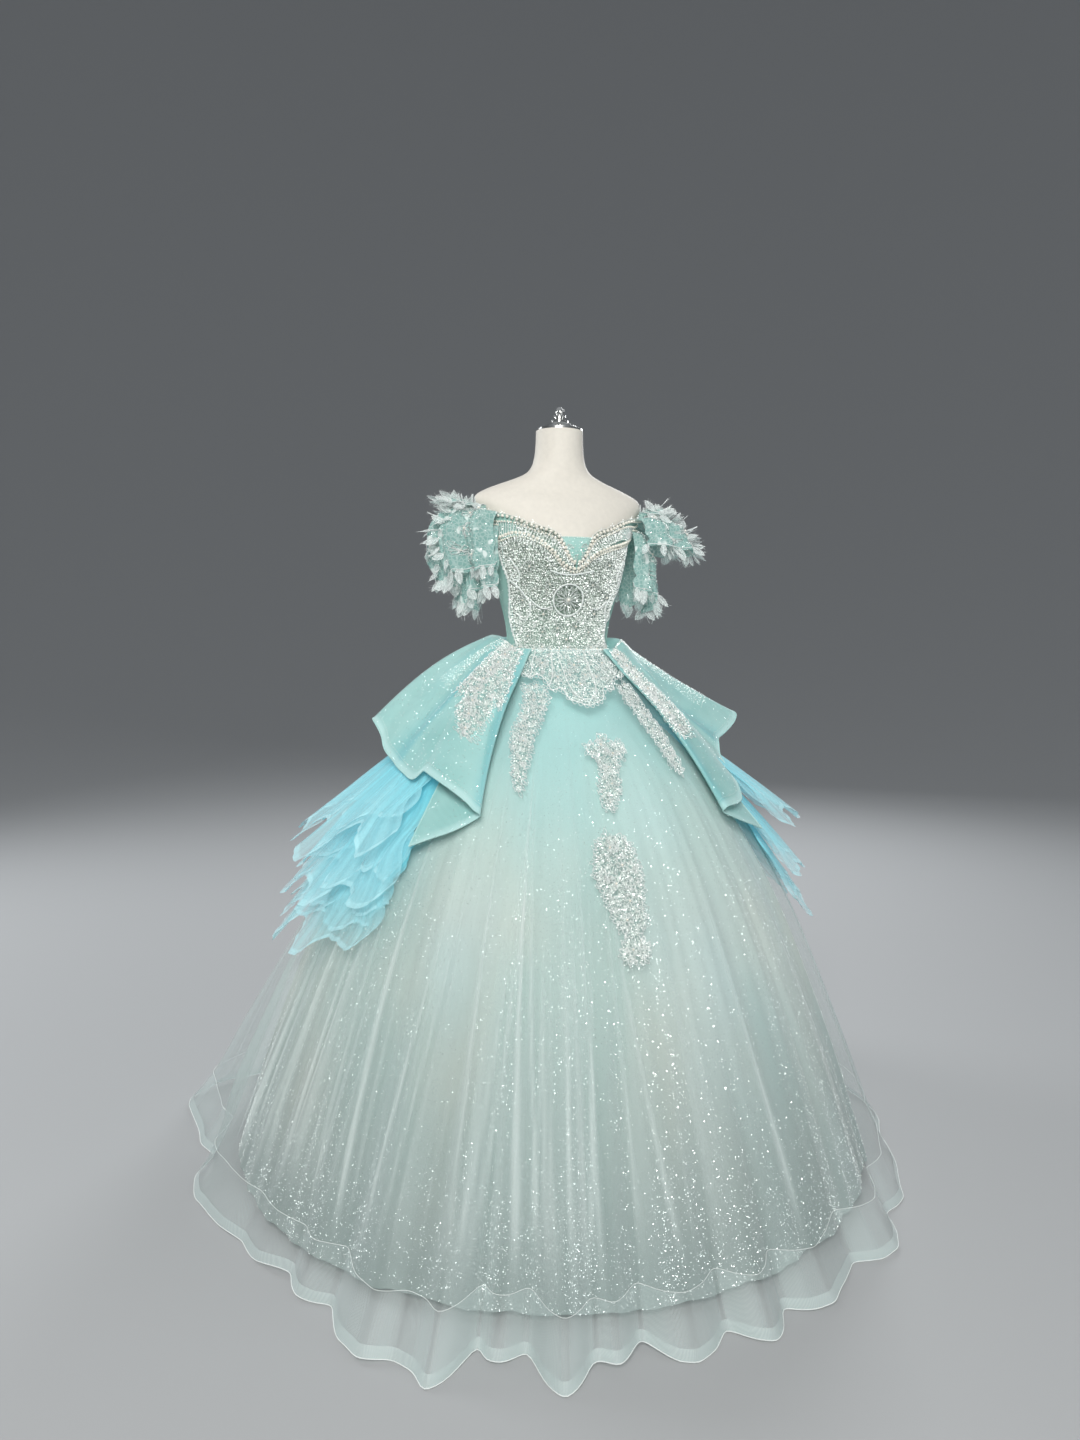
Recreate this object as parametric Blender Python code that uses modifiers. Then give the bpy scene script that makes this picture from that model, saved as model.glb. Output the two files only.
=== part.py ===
"""Ball gown on a limbless dress form: metres, +Z up, the gown's front faces -Y.

The origin is on the floor under the form's pole. An azimuth is an angle round the pole,
0 degrees at the front, growing towards the gown's left-hand side of the plan, +X.
Each piece of cloth is an open sheet through rows of points with a Solidify wall on its
outer side. A piece that lies on another is made from that one's points, moved out.
"""
from bisect import bisect_right
from collections import namedtuple
from math import cos, degrees, hypot, pi, radians, sin

import bmesh
import bpy
from mathutils import Vector

# ---- driving dimensions ----
WALL = 0.0015
SEAM = 0.0006
LAYER = 0.0004
WAIST_HEIGHT = 1.122
LINING_HEM = 0.020
BRAID_TOP = 0.085
FLOOR_LIFT = 0.0012
FORM_COLUMNS = 36
POLE_RADIUS = 0.0175
BASE_RADIUS = 0.190
BASE_THICKNESS = 0.014
NECK_TOP = 1.606
INSERT_OFFSET = 0.0004
INSERT_WALL = 0.0010
INSERT_ANGLES = (-20.0, -10.0, 0.0, 10.0, 20.0)
INSERT_HEIGHTS = (1.3645, 1.345, 1.300, 1.285)
BODICE_OFFSET = 0.0035
NECKBAND_OFFSET = BODICE_OFFSET + WALL + 0.0014
PLACKET_OFFSET = BODICE_OFFSET + WALL + 0.0007
SKIRT_HEADING_OFFSET = BODICE_OFFSET + WALL + 0.0016
SKIRT_WAIST_OFFSET = 0.0100
TAIL_OFFSET = WALL + 2 * LAYER
APPLIQUE_OFFSET = WALL + 3 * LAYER
BODICE_HEM = WAIST_HEIGHT + SEAM
BODICE_ROWS = 7
FRONT_SEAM = 68.0
BACK_SEAM = 112.0
PLACKET_EDGE = 179.0
PLACKET_ANGLES = (172.0, 176.0, 180.0, 184.0, 188.0)
PLACKET_DROP = 0.014


def table(columns, *rows):
    """A short table: one record for each row, with named columns."""
    Row = namedtuple("Row", columns)
    return [Row(*row) for row in rows]


# ---- the form: half width and depths of its sections ----
BODY = table(
    "height width front back",
    (0.890, 0.1680, 0.105, 0.125), (0.930, 0.1720, 0.108, 0.128),
    (1.030, 0.1500, 0.100, 0.105), (1.090, 0.1190, 0.086, 0.084),
    (1.130, 0.1115, 0.080, 0.078), (1.170, 0.1145, 0.083, 0.080),
    (1.230, 0.1285, 0.097, 0.088), (1.300, 0.1440, 0.115, 0.096),
    (1.345, 0.1520, 0.119, 0.098), (1.390, 0.1670, 0.108, 0.097),
    (1.420, 0.1860, 0.092, 0.090), (1.445, 0.1960, 0.078, 0.080),
    (1.460, 0.1900, 0.067, 0.072), (1.473, 0.1670, 0.059, 0.066),
    (1.485, 0.1370, 0.055, 0.062), (1.497, 0.1050, 0.054, 0.061),
    (1.510, 0.0780, 0.054, 0.060), (1.525, 0.0640, 0.054, 0.057),
    (1.545, 0.0570, 0.053, 0.055), (1.575, 0.0535, 0.053, 0.053),
    (NECK_TOP, 0.0525, 0.0525, 0.0525),
)

# ---- necklines by the angle round the body, from the V to the centre back ----
NECKLINE = table(
    "angle bodice band",
    (0.0, 1.302, 1.309), (6.0, 1.308, 1.322), (10.0, 1.318, 1.346), (14.0, 1.330, 1.368),
    (20.0, 1.344, 1.379), (30.0, 1.355, 1.388), (40.0, 1.366, 1.401), (50.0, 1.371, 1.411),
    (60.0, 1.367, 1.415), (70.0, 1.362, 1.417), (80.0, 1.355, 1.420), (90.0, 1.350, 1.424),
    (100.0, 1.348, 1.422), (112.0, 1.344, 1.415), (130.0, 1.336, 1.398),
    (150.0, 1.326, 1.380), (180.0, 1.318, 1.370),
)
# The band's lower edge hangs over the bodice's top, and lifts clear of it at the arm.
BAND_OVERHANG = 0.008
BAND_LIFT = 0.030
ARM_OPENING = (60.0, 85.0)
BAND_SHARES = (0.0, 0.5, 1.0)
BAND_FRONT_ANGLES = (1.0, 6.0, 10.0, 14.0)

# ---- skirts: radius by height, the deepest place between flutes ----
LINING = table(
    "height radius",
    (LINING_HEM, 0.712), (0.330, 0.606), (0.680, 0.448), (0.870, 0.322), (1.050, 0.158),
)
OVERLAY = table(
    "height radius flute",
    (FLOOR_LIFT, 0.765, 1.00), (0.040, 0.742, 0.93), (BRAID_TOP, 0.722, 0.82),
    (0.300, 0.640, 0.42), (0.600, 0.511, 0.07), (0.760, 0.418, 0.03), (0.980, 0.250, 0.0),
)
# Flutes of the overskirt on the floor: each crest, its radius there and its half width.
FLUTES = table(
    "azimuth crest half_width",
    (-163.0, 0.862, 7.5), (-149.0, 0.826, 6.5), (-136.0, 0.850, 6.5), (-114.0, 0.893, 13.0),
    (-83.0, 0.804, 12.0), (-63.0, 0.777, 6.0), (-53.0, 0.792, 3.6), (-40.0, 0.860, 8.4),
    (-31.5, 0.880, 4.2), (-25.3, 0.820, 2.3), (-17.2, 0.872, 4.4), (-11.2, 0.828, 3.0),
    (-2.0, 0.824, 6.0), (8.0, 0.829, 4.6), (18.5, 0.820, 6.2), (34.8, 0.822, 7.2),
    (48.5, 0.792, 6.0), (76.0, 0.790, 10.5), (93.0, 0.832, 6.5), (109.0, 0.868, 9.0),
    (126.0, 0.822, 6.5), (140.0, 0.852, 7.0), (155.0, 0.830, 7.5), (170.5, 0.858, 7.0),
    (183.5, 0.820, 5.5),
)
LINING_GATHERS = 24
GATHER_DEPTH = 0.006
GATHER_FADE = (0.50, 1.05)
OVERLAY_WAIST = WAIST_HEIGHT - 0.004
# The skirts are round below these heights and take the waist's oval above them.
ELLIPSE_BLEND = (1.00, 1.118)
FLUTE_ROUNDNESS = 1.5
# Columns of the overskirt in each flute, as shares of its half width, and the least step.
FLUTE_COLUMNS = (-0.95, -0.45, 0.0, 0.45)
LEAST_COLUMN_STEP = 1.1

# ---- lace on the skirt ----
BASQUE = table(
    "azimuth bottom",
    (-48.0, 1.070), (-40.0, 1.062), (-33.0, 1.066), (-27.0, 1.056), (-22.0, 1.036),
    (-16.0, 1.040), (-11.0, 1.018), (-6.0, 1.012), (-1.0, 1.006), (4.0, 1.012),
    (9.0, 1.018), (14.0, 1.040), (21.0, 1.036), (27.0, 1.056), (33.0, 1.062), (40.0, 1.060),
    (46.0, 1.070),
)
TAILS = {
    "l": table(
        "height azimuth half_width",
        (1.046, -34.0, 0.0240), (1.020, -30.5, 0.0260), (0.984, -31.5, 0.0230),
        (0.950, -33.0, 0.0260), (0.920, -32.0, 0.0200), (0.885, -31.5, 0.0150),
        (0.850, -30.5, 0.0060),
    ),
    "r": table(
        "height azimuth half_width",
        (1.046, 34.0, 0.0240), (1.020, 31.0, 0.0250), (0.984, 30.0, 0.0230),
        (0.950, 30.0, 0.0250), (0.920, 30.0, 0.0200), (0.895, 30.0, 0.0190),
        (0.870, 30.5, 0.0060),
    ),
}
TAIL_COLUMNS = 4
BASQUE_TOP = WAIST_HEIGHT - 0.006
BASQUE_SHARES = (0.0, 0.35, 0.7, 1.0)
APPLIQUE_COLUMNS = 5
APPLIQUES = {
    "applique_upper": table(
        "height azimuth half_width",
        (0.954, 0.6, 0.008), (0.938, 0.6, 0.022), (0.929, 0.5, 0.044), (0.914, 0.3, 0.045),
        (0.902, 0.0, 0.030), (0.880, -0.6, 0.026), (0.850, -1.8, 0.020), (0.812, -3.6, 0.006),
    ),
    "applique_lower": table(
        "height azimuth half_width",
        (0.774, -3.8, 0.018), (0.756, -3.6, 0.042), (0.715, -3.5, 0.055),
        (0.680, -3.2, 0.050), (0.640, -3.6, 0.038), (0.605, -4.0, 0.036),
        (0.588, -4.0, 0.042), (0.560, -4.4, 0.014),
    ),
}

# ---- hip drapes, from the centre back to the fold along the front and under it ----
# clearance is how far a column stays out of the skirt's surface.
PEPLUMS = {
    "l": table(
        "waist azimuth radius height clearance",
        (-171.0, -169.0, 0.382, 0.896, 0.030), (-163.0, -162.0, 0.408, 0.862, 0.032),
        (-156.0, -152.0, 0.388, 0.902, 0.034), (-148.0, -143.0, 0.404, 0.934, 0.036),
        (-140.0, -134.0, 0.396, 0.892, 0.036), (-131.0, -124.0, 0.398, 0.878, 0.036),
        (-122.0, -113.0, 0.392, 0.930, 0.036), (-112.0, -103.0, 0.405, 0.957, 0.036),
        (-104.0, -92.0, 0.416, 0.963, 0.036), (-97.0, -88.0, 0.404, 0.933, 0.036),
        (-90.0, -84.0, 0.403, 0.905, 0.036), (-84.0, -79.0, 0.392, 0.880, 0.036),
        (-79.0, -72.0, 0.398, 0.868, 0.036), (-74.0, -65.0, 0.405, 0.861, 0.036),
        (-69.0, -62.5, 0.388, 0.876, 0.032), (-65.0, -57.5, 0.397, 0.870, 0.030),
        (-60.0, -50.5, 0.408, 0.854, 0.028), (-54.0, -44.5, 0.412, 0.833, 0.024),
        (-49.5, -41.5, 0.412, 0.816, 0.022), (-48.0, -40.3, 0.408, 0.808, 0.018),
        (-48.6, -41.2, 0.404, 0.800, 0.013), (-52.0, -46.5, 0.430, 0.776, 0.013),
        (-56.0, -51.5, 0.447, 0.759, 0.014), (-60.0, -56.5, 0.468, 0.741, 0.016),
    ),
    "r": table(
        "waist azimuth radius height clearance",
        (171.0, 169.0, 0.380, 0.892, 0.030), (163.0, 161.0, 0.406, 0.866, 0.032),
        (155.0, 151.0, 0.390, 0.904, 0.034), (147.0, 141.0, 0.402, 0.938, 0.036),
        (139.0, 132.0, 0.398, 0.890, 0.036), (130.0, 121.0, 0.402, 0.882, 0.036),
        (121.0, 111.0, 0.404, 0.934, 0.036), (110.0, 101.0, 0.438, 0.972, 0.036),
        (101.0, 91.0, 0.461, 0.968, 0.036), (95.0, 87.5, 0.450, 0.950, 0.036),
        (89.0, 82.5, 0.412, 0.928, 0.036), (83.0, 78.0, 0.382, 0.912, 0.036),
        (78.0, 73.0, 0.382, 0.888, 0.036), (73.0, 69.0, 0.386, 0.872, 0.036),
        (68.0, 64.0, 0.396, 0.845, 0.032), (63.0, 57.5, 0.410, 0.826, 0.030),
        (57.0, 51.0, 0.425, 0.803, 0.028), (52.0, 45.5, 0.424, 0.800, 0.024),
        (47.0, 41.5, 0.420, 0.801, 0.022), (45.5, 40.2, 0.416, 0.796, 0.018),
        (46.1, 41.2, 0.414, 0.788, 0.013), (50.0, 46.5, 0.436, 0.768, 0.013),
        (54.0, 51.5, 0.452, 0.752, 0.014), (58.0, 56.5, 0.470, 0.736, 0.016),
    ),
}
PEPLUM_SHARES = (0.0, 0.06, 0.16, 0.28, 0.46, 0.64, 0.82, 1.0)
# A drape's folded front stands off the basque; from the second azimuth back it is sewn
# down on the skirt.
SEWN_DOWN = (61.0, 70.0)
PEPLUM_SEAT = 2 * WALL
PEPLUM_WAIST_LEVEL = WAIST_HEIGHT - 0.010
PEPLUM_WAIST_OFFSET = 0.0075
PEPLUM_WAIST_SHARE = 0.35
PEPLUM_CLEARANCE = 0.036
# In front a drape arches over the skirt; from the hips back it puffs up above the waist,
# and arches as far as its side's hip arch says.
PEPLUM_ARCH = 0.016
HIP_ARCH = {"l": 0.024, "r": -0.006}
PEPLUM_PUFF = 0.036
PUFF_START = (48.0, 80.0)
# A drape lies close at the waist and has its full clearance from this share down.
CLEARANCE_START = (-0.35, 0.42)
# Lace on the drapes: the columns and rows of the drape that it covers.
PEPLUM_LACE = {"l": (12, 17, 2, 5), "r": (11, 17, 2, 6)}

# ---- tulle ruffles on the hips, in tiers from the lowest layer out ----
RUFFLES = table(
    "name front back top hem left right wave waves",
    ("ruffle_low", 51.0, 171.0, 0.758, 0.548, 0.036, 0.036, 0.0080, 8.0),
    ("ruffle_mid", 63.0, 169.0, 0.880, 0.620, 0.064, 0.070, 0.0120, 7.0),
    ("ruffle_top", 66.0, 167.0, 0.940, 0.735, 0.098, 0.128, 0.0160, 6.5),
)
RUFFLE_SEAT = WALL + 2 * LAYER
RUFFLE_ROOT = 0.0050
RUFFLE_SHARES = (0.0, 0.35, 0.7, 1.0)
RUFFLE_COLUMNS_PER_WAVE = 4
RUFFLE_SWING = 0.022
# The tiers lie close to the skirt in front and stand off it from the second azimuth back.
RUFFLE_OPENING = (50.0, 84.0)
RUFFLE_FRONT_REACH = 0.30

# ---- sleeves: lace flounces that hang from the band round the shoulder ----
FLOUNCES = table(
    "name start end top points point_depth grow root",
    ("sleeve_frill", 66.0, 122.0, 0.000, 9, 0.014, 1.0, 0.0006),
    ("sleeve_upper", 54.0, 128.0, 0.008, 13, 0.015, -1.0, 0.0008),
    ("sleeve_lower", 60.0, 122.0, 0.026, 10, 0.016, 1.0, 0.0008),
)
# How far each flounce has gone out from the band, and up or down, at each share of it.
FLOUNCE_PROFILES = {
    "sleeve_frill_l": table("out rise", (0.0, -0.003), (0.026, 0.018), (0.058, 0.024)),
    "sleeve_frill_r": table("out rise", (0.0, -0.003), (0.026, 0.018), (0.058, 0.024)),
    "sleeve_upper_l": table(
        "out rise", (0.0, 0.000), (0.046, 0.014), (0.086, -0.022), (0.090, -0.088),
        (0.070, -0.148)),
    "sleeve_upper_r": table(
        "out rise", (0.0, 0.000), (0.048, 0.014), (0.094, -0.002), (0.122, -0.034),
        (0.138, -0.072)),
    "sleeve_lower_l": table(
        "out rise", (0.0, 0.000), (0.024, -0.020), (0.036, -0.100), (0.036, -0.178)),
    "sleeve_lower_r": table(
        "out rise", (0.0, 0.000), (0.026, -0.020), (0.050, -0.100), (0.052, -0.178)),
}
# A flounce reaches out least at its two ends, and a little less to the front than aside.
FLOUNCE_END_REACH = 0.35
FLOUNCE_FRONT_REACH = 0.8
SLEEVE_WAVE = 0.014
SLEEVE_WAVES = 4.5
SIDES = {"l": -1.0, "r": 1.0}

FINIAL = table(
    "radius height",
    (0.0, 1.6610), (0.0050, 1.6590), (0.0085, 1.6530), (0.0100, 1.6470), (0.0085, 1.6435),
    (0.0130, 1.6415), (0.0140, 1.6375), (0.0105, 1.6335), (0.0190, 1.6300),
    (0.0200, 1.6250), (0.0360, 1.6175), (0.0505, 1.6110), (0.0515, NECK_TOP + 0.0003),
    (0.0, NECK_TOP + 0.0003),
)
BASE = table(
    "radius height",
    (0.0, BASE_THICKNESS), (0.030, BASE_THICKNESS), (0.120, 0.0115), (0.180, 0.0080),
    (BASE_RADIUS, 0.0050), (BASE_RADIUS, 0.0), (0.0, 0.0),
)

MATERIALS = table(
    "name color roughness metallic",
    ("tulle_pale", (0.66, 0.80, 0.77, 1.0), 0.75, 0.0),
    ("glitter_cloth", (0.72, 0.80, 0.76, 1.0), 0.55, 0.0),
    ("horsehair_braid", (0.70, 0.80, 0.78, 1.0), 0.50, 0.0),
    ("aqua_organza", (0.42, 0.72, 0.69, 1.0), 0.45, 0.0),
    ("blue_tulle", (0.30, 0.71, 0.80, 1.0), 0.75, 0.0),
    ("beaded_lace", (0.62, 0.68, 0.63, 1.0), 0.35, 0.2),
    ("lace_flounce", (0.60, 0.78, 0.74, 1.0), 0.60, 0.0),
    ("form_cover", (0.86, 0.83, 0.77, 1.0), 0.60, 0.0),
    ("polished_metal", (0.75, 0.75, 0.74, 1.0), 0.15, 1.0),
)


def between(rows, key, at, column):
    """A table's column at a place between its rows, in straight steps."""
    rows = sorted(rows, key=lambda row: getattr(row, key))
    keys = [getattr(row, key) for row in rows]
    if at <= keys[0]:
        return getattr(rows[0], column)
    if at >= keys[-1]:
        return getattr(rows[-1], column)
    after = bisect_right(keys, at)
    share = (at - keys[after - 1]) / (keys[after] - keys[after - 1])
    low, high = getattr(rows[after - 1], column), getattr(rows[after], column)
    return low + (high - low) * share


def smooth(low, high, value):
    """0 below low, 1 above high, and a smooth step between."""
    share = min(max((value - low) / (high - low), 0.0), 1.0)
    return share * share * (3.0 - 2.0 * share)


def at_azimuth(azimuth, radius, height):
    """The point at an azimuth and radius round the pole."""
    angle = radians(azimuth)
    return Vector((radius * sin(angle), -radius * cos(angle), height))


# ---- scene, collections and materials ----
def clear_scene():
    for old in list(bpy.data.objects):
        bpy.data.objects.remove(old, do_unlink=True)


def make_collection(name):
    collection = bpy.data.collections.new(name)
    bpy.context.scene.collection.children.link(collection)
    return collection


def make_materials():
    made = {}
    for row in MATERIALS:
        material = bpy.data.materials.new(row.name)
        material.use_nodes = True
        shader = material.node_tree.nodes["Principled BSDF"]
        shader.inputs["Base Color"].default_value = row.color
        shader.inputs["Roughness"].default_value = row.roughness
        shader.inputs["Metallic"].default_value = row.metallic
        made[row.name] = material
    return made


def add_object(name, mesh, material):
    mesh.materials.append(MADE_MATERIALS[material])
    for polygon in mesh.polygons:
        polygon.use_smooth = True
    piece = bpy.data.objects.new(name, mesh)
    GOWN.objects.link(piece)
    return piece


def add_sheet(name, rows, material, closed=False, wall=WALL, grow=1.0):
    """Cloth through rows of points, top row first, each row by growing azimuth.

    The wall stands on the sheet's outer side, or on its inner side where grow is -1.
    """
    bm = bmesh.new()
    verts = [[bm.verts.new(point) for point in row] for row in rows]
    count = len(rows[0])
    for upper, lower in zip(verts, verts[1:]):
        for near in range(count if closed else count - 1):
            far = (near + 1) % count
            bm.faces.new((upper[near], lower[near], lower[far], upper[far]))
    mesh = bpy.data.meshes.new(name)
    bm.to_mesh(mesh)
    bm.free()
    piece = add_object(name, mesh, material)
    solidify = piece.modifiers.new("wall", "SOLIDIFY")
    solidify.thickness = wall
    solidify.offset = grow
    solidify.use_even_offset = True
    return piece


def add_turned(name, profile, material, steps):
    """A turned solid: its profile runs down the outer side, at +X."""
    mesh = bpy.data.meshes.new(name)
    points = [(row.radius, 0.0, row.height) for row in profile]
    mesh.from_pydata(points, [(i, i + 1) for i in range(len(points) - 1)], [])
    piece = add_object(name, mesh, material)
    screw = piece.modifiers.new("turn", "SCREW")
    screw.axis = "Z"
    screw.steps = steps
    screw.render_steps = steps
    screw.use_merge_vertices = True
    screw.merge_threshold = 0.0001
    return piece


# ---- the dress form ----
def on_form(angle, height, offset):
    """A point on the form's surface, or off it, at an angle of its oval section."""
    width = between(BODY, "height", height, "width") + offset
    depth_column = "front" if cos(radians(angle)) > 0.0 else "back"
    depth = between(BODY, "height", height, depth_column) + offset
    return Vector((width * sin(radians(angle)), -depth * cos(radians(angle)), height))


def make_form():
    step = 360.0 / FORM_COLUMNS
    bm = bmesh.new()
    rings = []
    for row in reversed(BODY):
        ring = [bm.verts.new(on_form(i * step, row.height, 0.0)) for i in range(FORM_COLUMNS)]
        rings.append(ring)
    for upper, lower in zip(rings, rings[1:]):
        for near in range(FORM_COLUMNS):
            far = (near + 1) % FORM_COLUMNS
            bm.faces.new((upper[near], lower[near], lower[far], upper[far]))
    bm.faces.new(rings[0])
    bm.faces.new(list(reversed(rings[-1])))
    mesh = bpy.data.meshes.new("form_torso")
    bm.to_mesh(mesh)
    bm.free()
    add_object("form_torso", mesh, "form_cover")
    add_turned("form_finial", FINIAL, "polished_metal", 20)
    add_turned("form_base", BASE, "polished_metal", 40)
    low, high = BASE_THICKNESS + LAYER, BODY[0].height - LAYER
    bpy.ops.mesh.primitive_cylinder_add(
        vertices=16, radius=POLE_RADIUS, depth=high - low, location=(0, 0, (low + high) / 2))
    pole = bpy.context.object
    mesh = pole.data
    mesh.transform(pole.matrix_world)
    bpy.data.objects.remove(pole)
    add_object("form_pole", mesh, "polished_metal")


# ---- bodice ----
def body_angles(start, end):
    """Columns every 10 degrees between two seams, with the seams themselves."""
    step = 360.0 / FORM_COLUMNS
    inner = [i * step for i in range(-FORM_COLUMNS, FORM_COLUMNS + 1)]
    return [start] + [angle for angle in inner if start + 2 < angle < end - 2] + [end]


def body_rows(angles, low, high, shares, offset):
    """Rows on the form between two edges, each a height for each angle, top row first."""
    rows = []
    for share in shares:
        row = []
        for angle in angles:
            height = high(angle) + (low(angle) - high(angle)) * share
            row.append(on_form(angle, height, offset))
        rows.append(row)
    return rows


def bodice_top(angle):
    return between(NECKLINE, "angle", abs(angle), "bodice")


def band_top(angle):
    return between(NECKLINE, "angle", abs(angle), "band")


def band_low(angle):
    """The band's lower edge: just over the bodice's at the front, clear of it at the arm."""
    return bodice_top(angle) + BAND_LIFT * smooth(*ARM_OPENING, abs(angle)) - BAND_OVERHANG


def seam_angle():
    """Half the gap of a vertical seam, as an angle at the waist."""
    return degrees(SEAM / 2 / between(BODY, "height", WAIST_HEIGHT, "width"))


def make_bodice():
    gap = seam_angle()
    shares = [row / (BODICE_ROWS - 1) for row in range(BODICE_ROWS)]
    panels = table(
        "name start end material",
        ("bodice_front", -FRONT_SEAM, FRONT_SEAM, "beaded_lace"),
        ("bodice_side_l", -BACK_SEAM, -FRONT_SEAM, "aqua_organza"),
        ("bodice_side_r", FRONT_SEAM, BACK_SEAM, "aqua_organza"),
        ("bodice_back_l", -PLACKET_EDGE, -BACK_SEAM, "aqua_organza"),
        ("bodice_back_r", BACK_SEAM, PLACKET_EDGE, "aqua_organza"),
    )
    for panel in panels:
        angles = body_angles(panel.start + gap, panel.end - gap)
        rows = body_rows(angles, lambda angle: BODICE_HEM, bodice_top, shares, BODICE_OFFSET)
        add_sheet(panel.name, rows, panel.material)
    rows = [[on_form(angle, height, INSERT_OFFSET) for angle in INSERT_ANGLES]
            for height in INSERT_HEIGHTS]
    add_sheet("bodice_insert", rows, "aqua_organza", wall=INSERT_WALL)
    rows = body_rows(PLACKET_ANGLES, lambda angle: BODICE_HEM,
                     lambda angle: bodice_top(180.0) - PLACKET_DROP, shares, PLACKET_OFFSET)
    add_sheet("back_placket", rows, "aqua_organza")


def make_neckbands():
    for side, sign in SIDES.items():
        angles = [*BAND_FRONT_ANGLES, *body_angles(20.0, PLACKET_EDGE)]
        angles = sorted(sign * angle for angle in angles)
        rows = body_rows(angles, band_low, band_top, BAND_SHARES, NECKBAND_OFFSET)
        add_sheet("neckband_" + side, rows, "beaded_lace")


# ---- sleeves ----
def sleeve_point(side, flounce, angle, share, drop):
    """A point of a flounce: off the band, out along its own profile, with soft waves."""
    sign = SIDES[side]
    profile = FLOUNCE_PROFILES[f"{flounce.name}_{side}"]
    place = share * (len(profile) - 1)
    before = min(int(place), len(profile) - 2)
    part = place - before
    near, far = profile[before], profile[before + 1]
    out = near.out + (far.out - near.out) * part
    rise = near.rise + (far.rise - near.rise) * part
    along = (angle - flounce.start) / (flounce.end - flounce.start)
    spread = FLOUNCE_END_REACH + (1.0 - FLOUNCE_END_REACH) * sin(pi * along)
    wave = SLEEVE_WAVE * share * sin(2 * pi * SLEEVE_WAVES * along + len(flounce.name))
    reach = NECKBAND_OFFSET + WALL + flounce.root + out * spread
    height = band_top(angle) - flounce.top + rise - drop
    root = on_form(sign * angle, band_top(angle) - flounce.top, 0.0)
    front = -FLOUNCE_FRONT_REACH * cos(radians(angle))
    outward = Vector((sign * sin(radians(angle)), front, 0.0)).normalized()
    point = root + outward * (reach + wave)
    point.z = height
    return point


def make_sleeves():
    for side, sign in SIDES.items():
        for flounce in FLOUNCES:
            columns = flounce.points * 2 + 1
            count = len(FLOUNCE_PROFILES[f"{flounce.name}_{side}"])
            rows = []
            for level in range(count):
                share = level / (count - 1)
                row = []
                for column in range(columns):
                    angle = flounce.start + (flounce.end - flounce.start) * column / (columns - 1)
                    drop = flounce.point_depth * (column % 2) * (level == count - 1)
                    if flounce.name == "sleeve_frill":
                        drop = -drop
                    row.append(sleeve_point(side, flounce, angle, share, drop))
                rows.append(row if sign > 0 else row[::-1])
            if flounce.name == "sleeve_frill":
                rows.reverse()
            add_sheet(f"{flounce.name}_{side}", rows, "lace_flounce", grow=flounce.grow)


# ---- skirts ----
def waist_radius(azimuth, offset):
    """Radius of the oval waist at an azimuth."""
    depth_column = "front" if cos(radians(azimuth)) > 0.0 else "back"
    width = between(BODY, "height", WAIST_HEIGHT, "width") + offset
    depth = between(BODY, "height", WAIST_HEIGHT, depth_column) + offset
    return 1.0 / hypot(sin(radians(azimuth)) / width, cos(radians(azimuth)) / depth)


def flute(azimuth):
    """How far the overskirt's floor line stands out of its deepest radius."""
    reach = 0.0
    for row in FLUTES:
        for turn in (-360.0, 0.0, 360.0):
            share = (azimuth + turn - row.azimuth) / row.half_width
            if abs(share) < 1.0:
                lobe = (row.crest - OVERLAY[0].radius) * (1.0 - share ** 2) ** FLUTE_ROUNDNESS
                reach = max(reach, lobe)
    return reach


def skirt_columns():
    """Azimuths of the overskirt's columns: each flute's feet, flanks and crest."""
    found = []
    for row in sorted(FLUTES):
        for share in FLUTE_COLUMNS:
            azimuth = row.azimuth + share * row.half_width
            if not found or azimuth - found[-1] > LEAST_COLUMN_STEP:
                found.append(azimuth)
    return [azimuth for azimuth in found if azimuth < found[0] + 359.0]


def overlay_rows(columns):
    """The overskirt's rows, floor row last."""
    rows = [[at_azimuth(a, waist_radius(a, SKIRT_HEADING_OFFSET), WAIST_HEIGHT - SEAM)
             for a in columns],
            [at_azimuth(a, waist_radius(a, SKIRT_WAIST_OFFSET), OVERLAY_WAIST)
             for a in columns]]
    for level in reversed(OVERLAY):
        oval = smooth(*ELLIPSE_BLEND, level.height)
        row = []
        for azimuth in columns:
            radius = level.radius + level.flute * flute(azimuth)
            radius += oval * (waist_radius(azimuth, SKIRT_WAIST_OFFSET) - radius)
            row.append(at_azimuth(azimuth, radius, level.height))
        rows.append(row)
    return rows


def lining_rows():
    columns = [360.0 * i / (2 * LINING_GATHERS) for i in range(2 * LINING_GATHERS)]
    rows = [[at_azimuth(a, waist_radius(a, BODICE_OFFSET), WAIST_HEIGHT - SEAM)
             for a in columns]]
    for level in reversed(LINING):
        oval = smooth(*ELLIPSE_BLEND, level.height)
        row = []
        for number, azimuth in enumerate(columns):
            depth = GATHER_DEPTH * (number % 2) * (1.0 - smooth(*GATHER_FADE, level.height))
            radius = level.radius - depth
            radius += oval * (waist_radius(azimuth, BODICE_OFFSET) - radius)
            row.append(at_azimuth(azimuth, radius, level.height))
        rows.append(row)
    return rows


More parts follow.
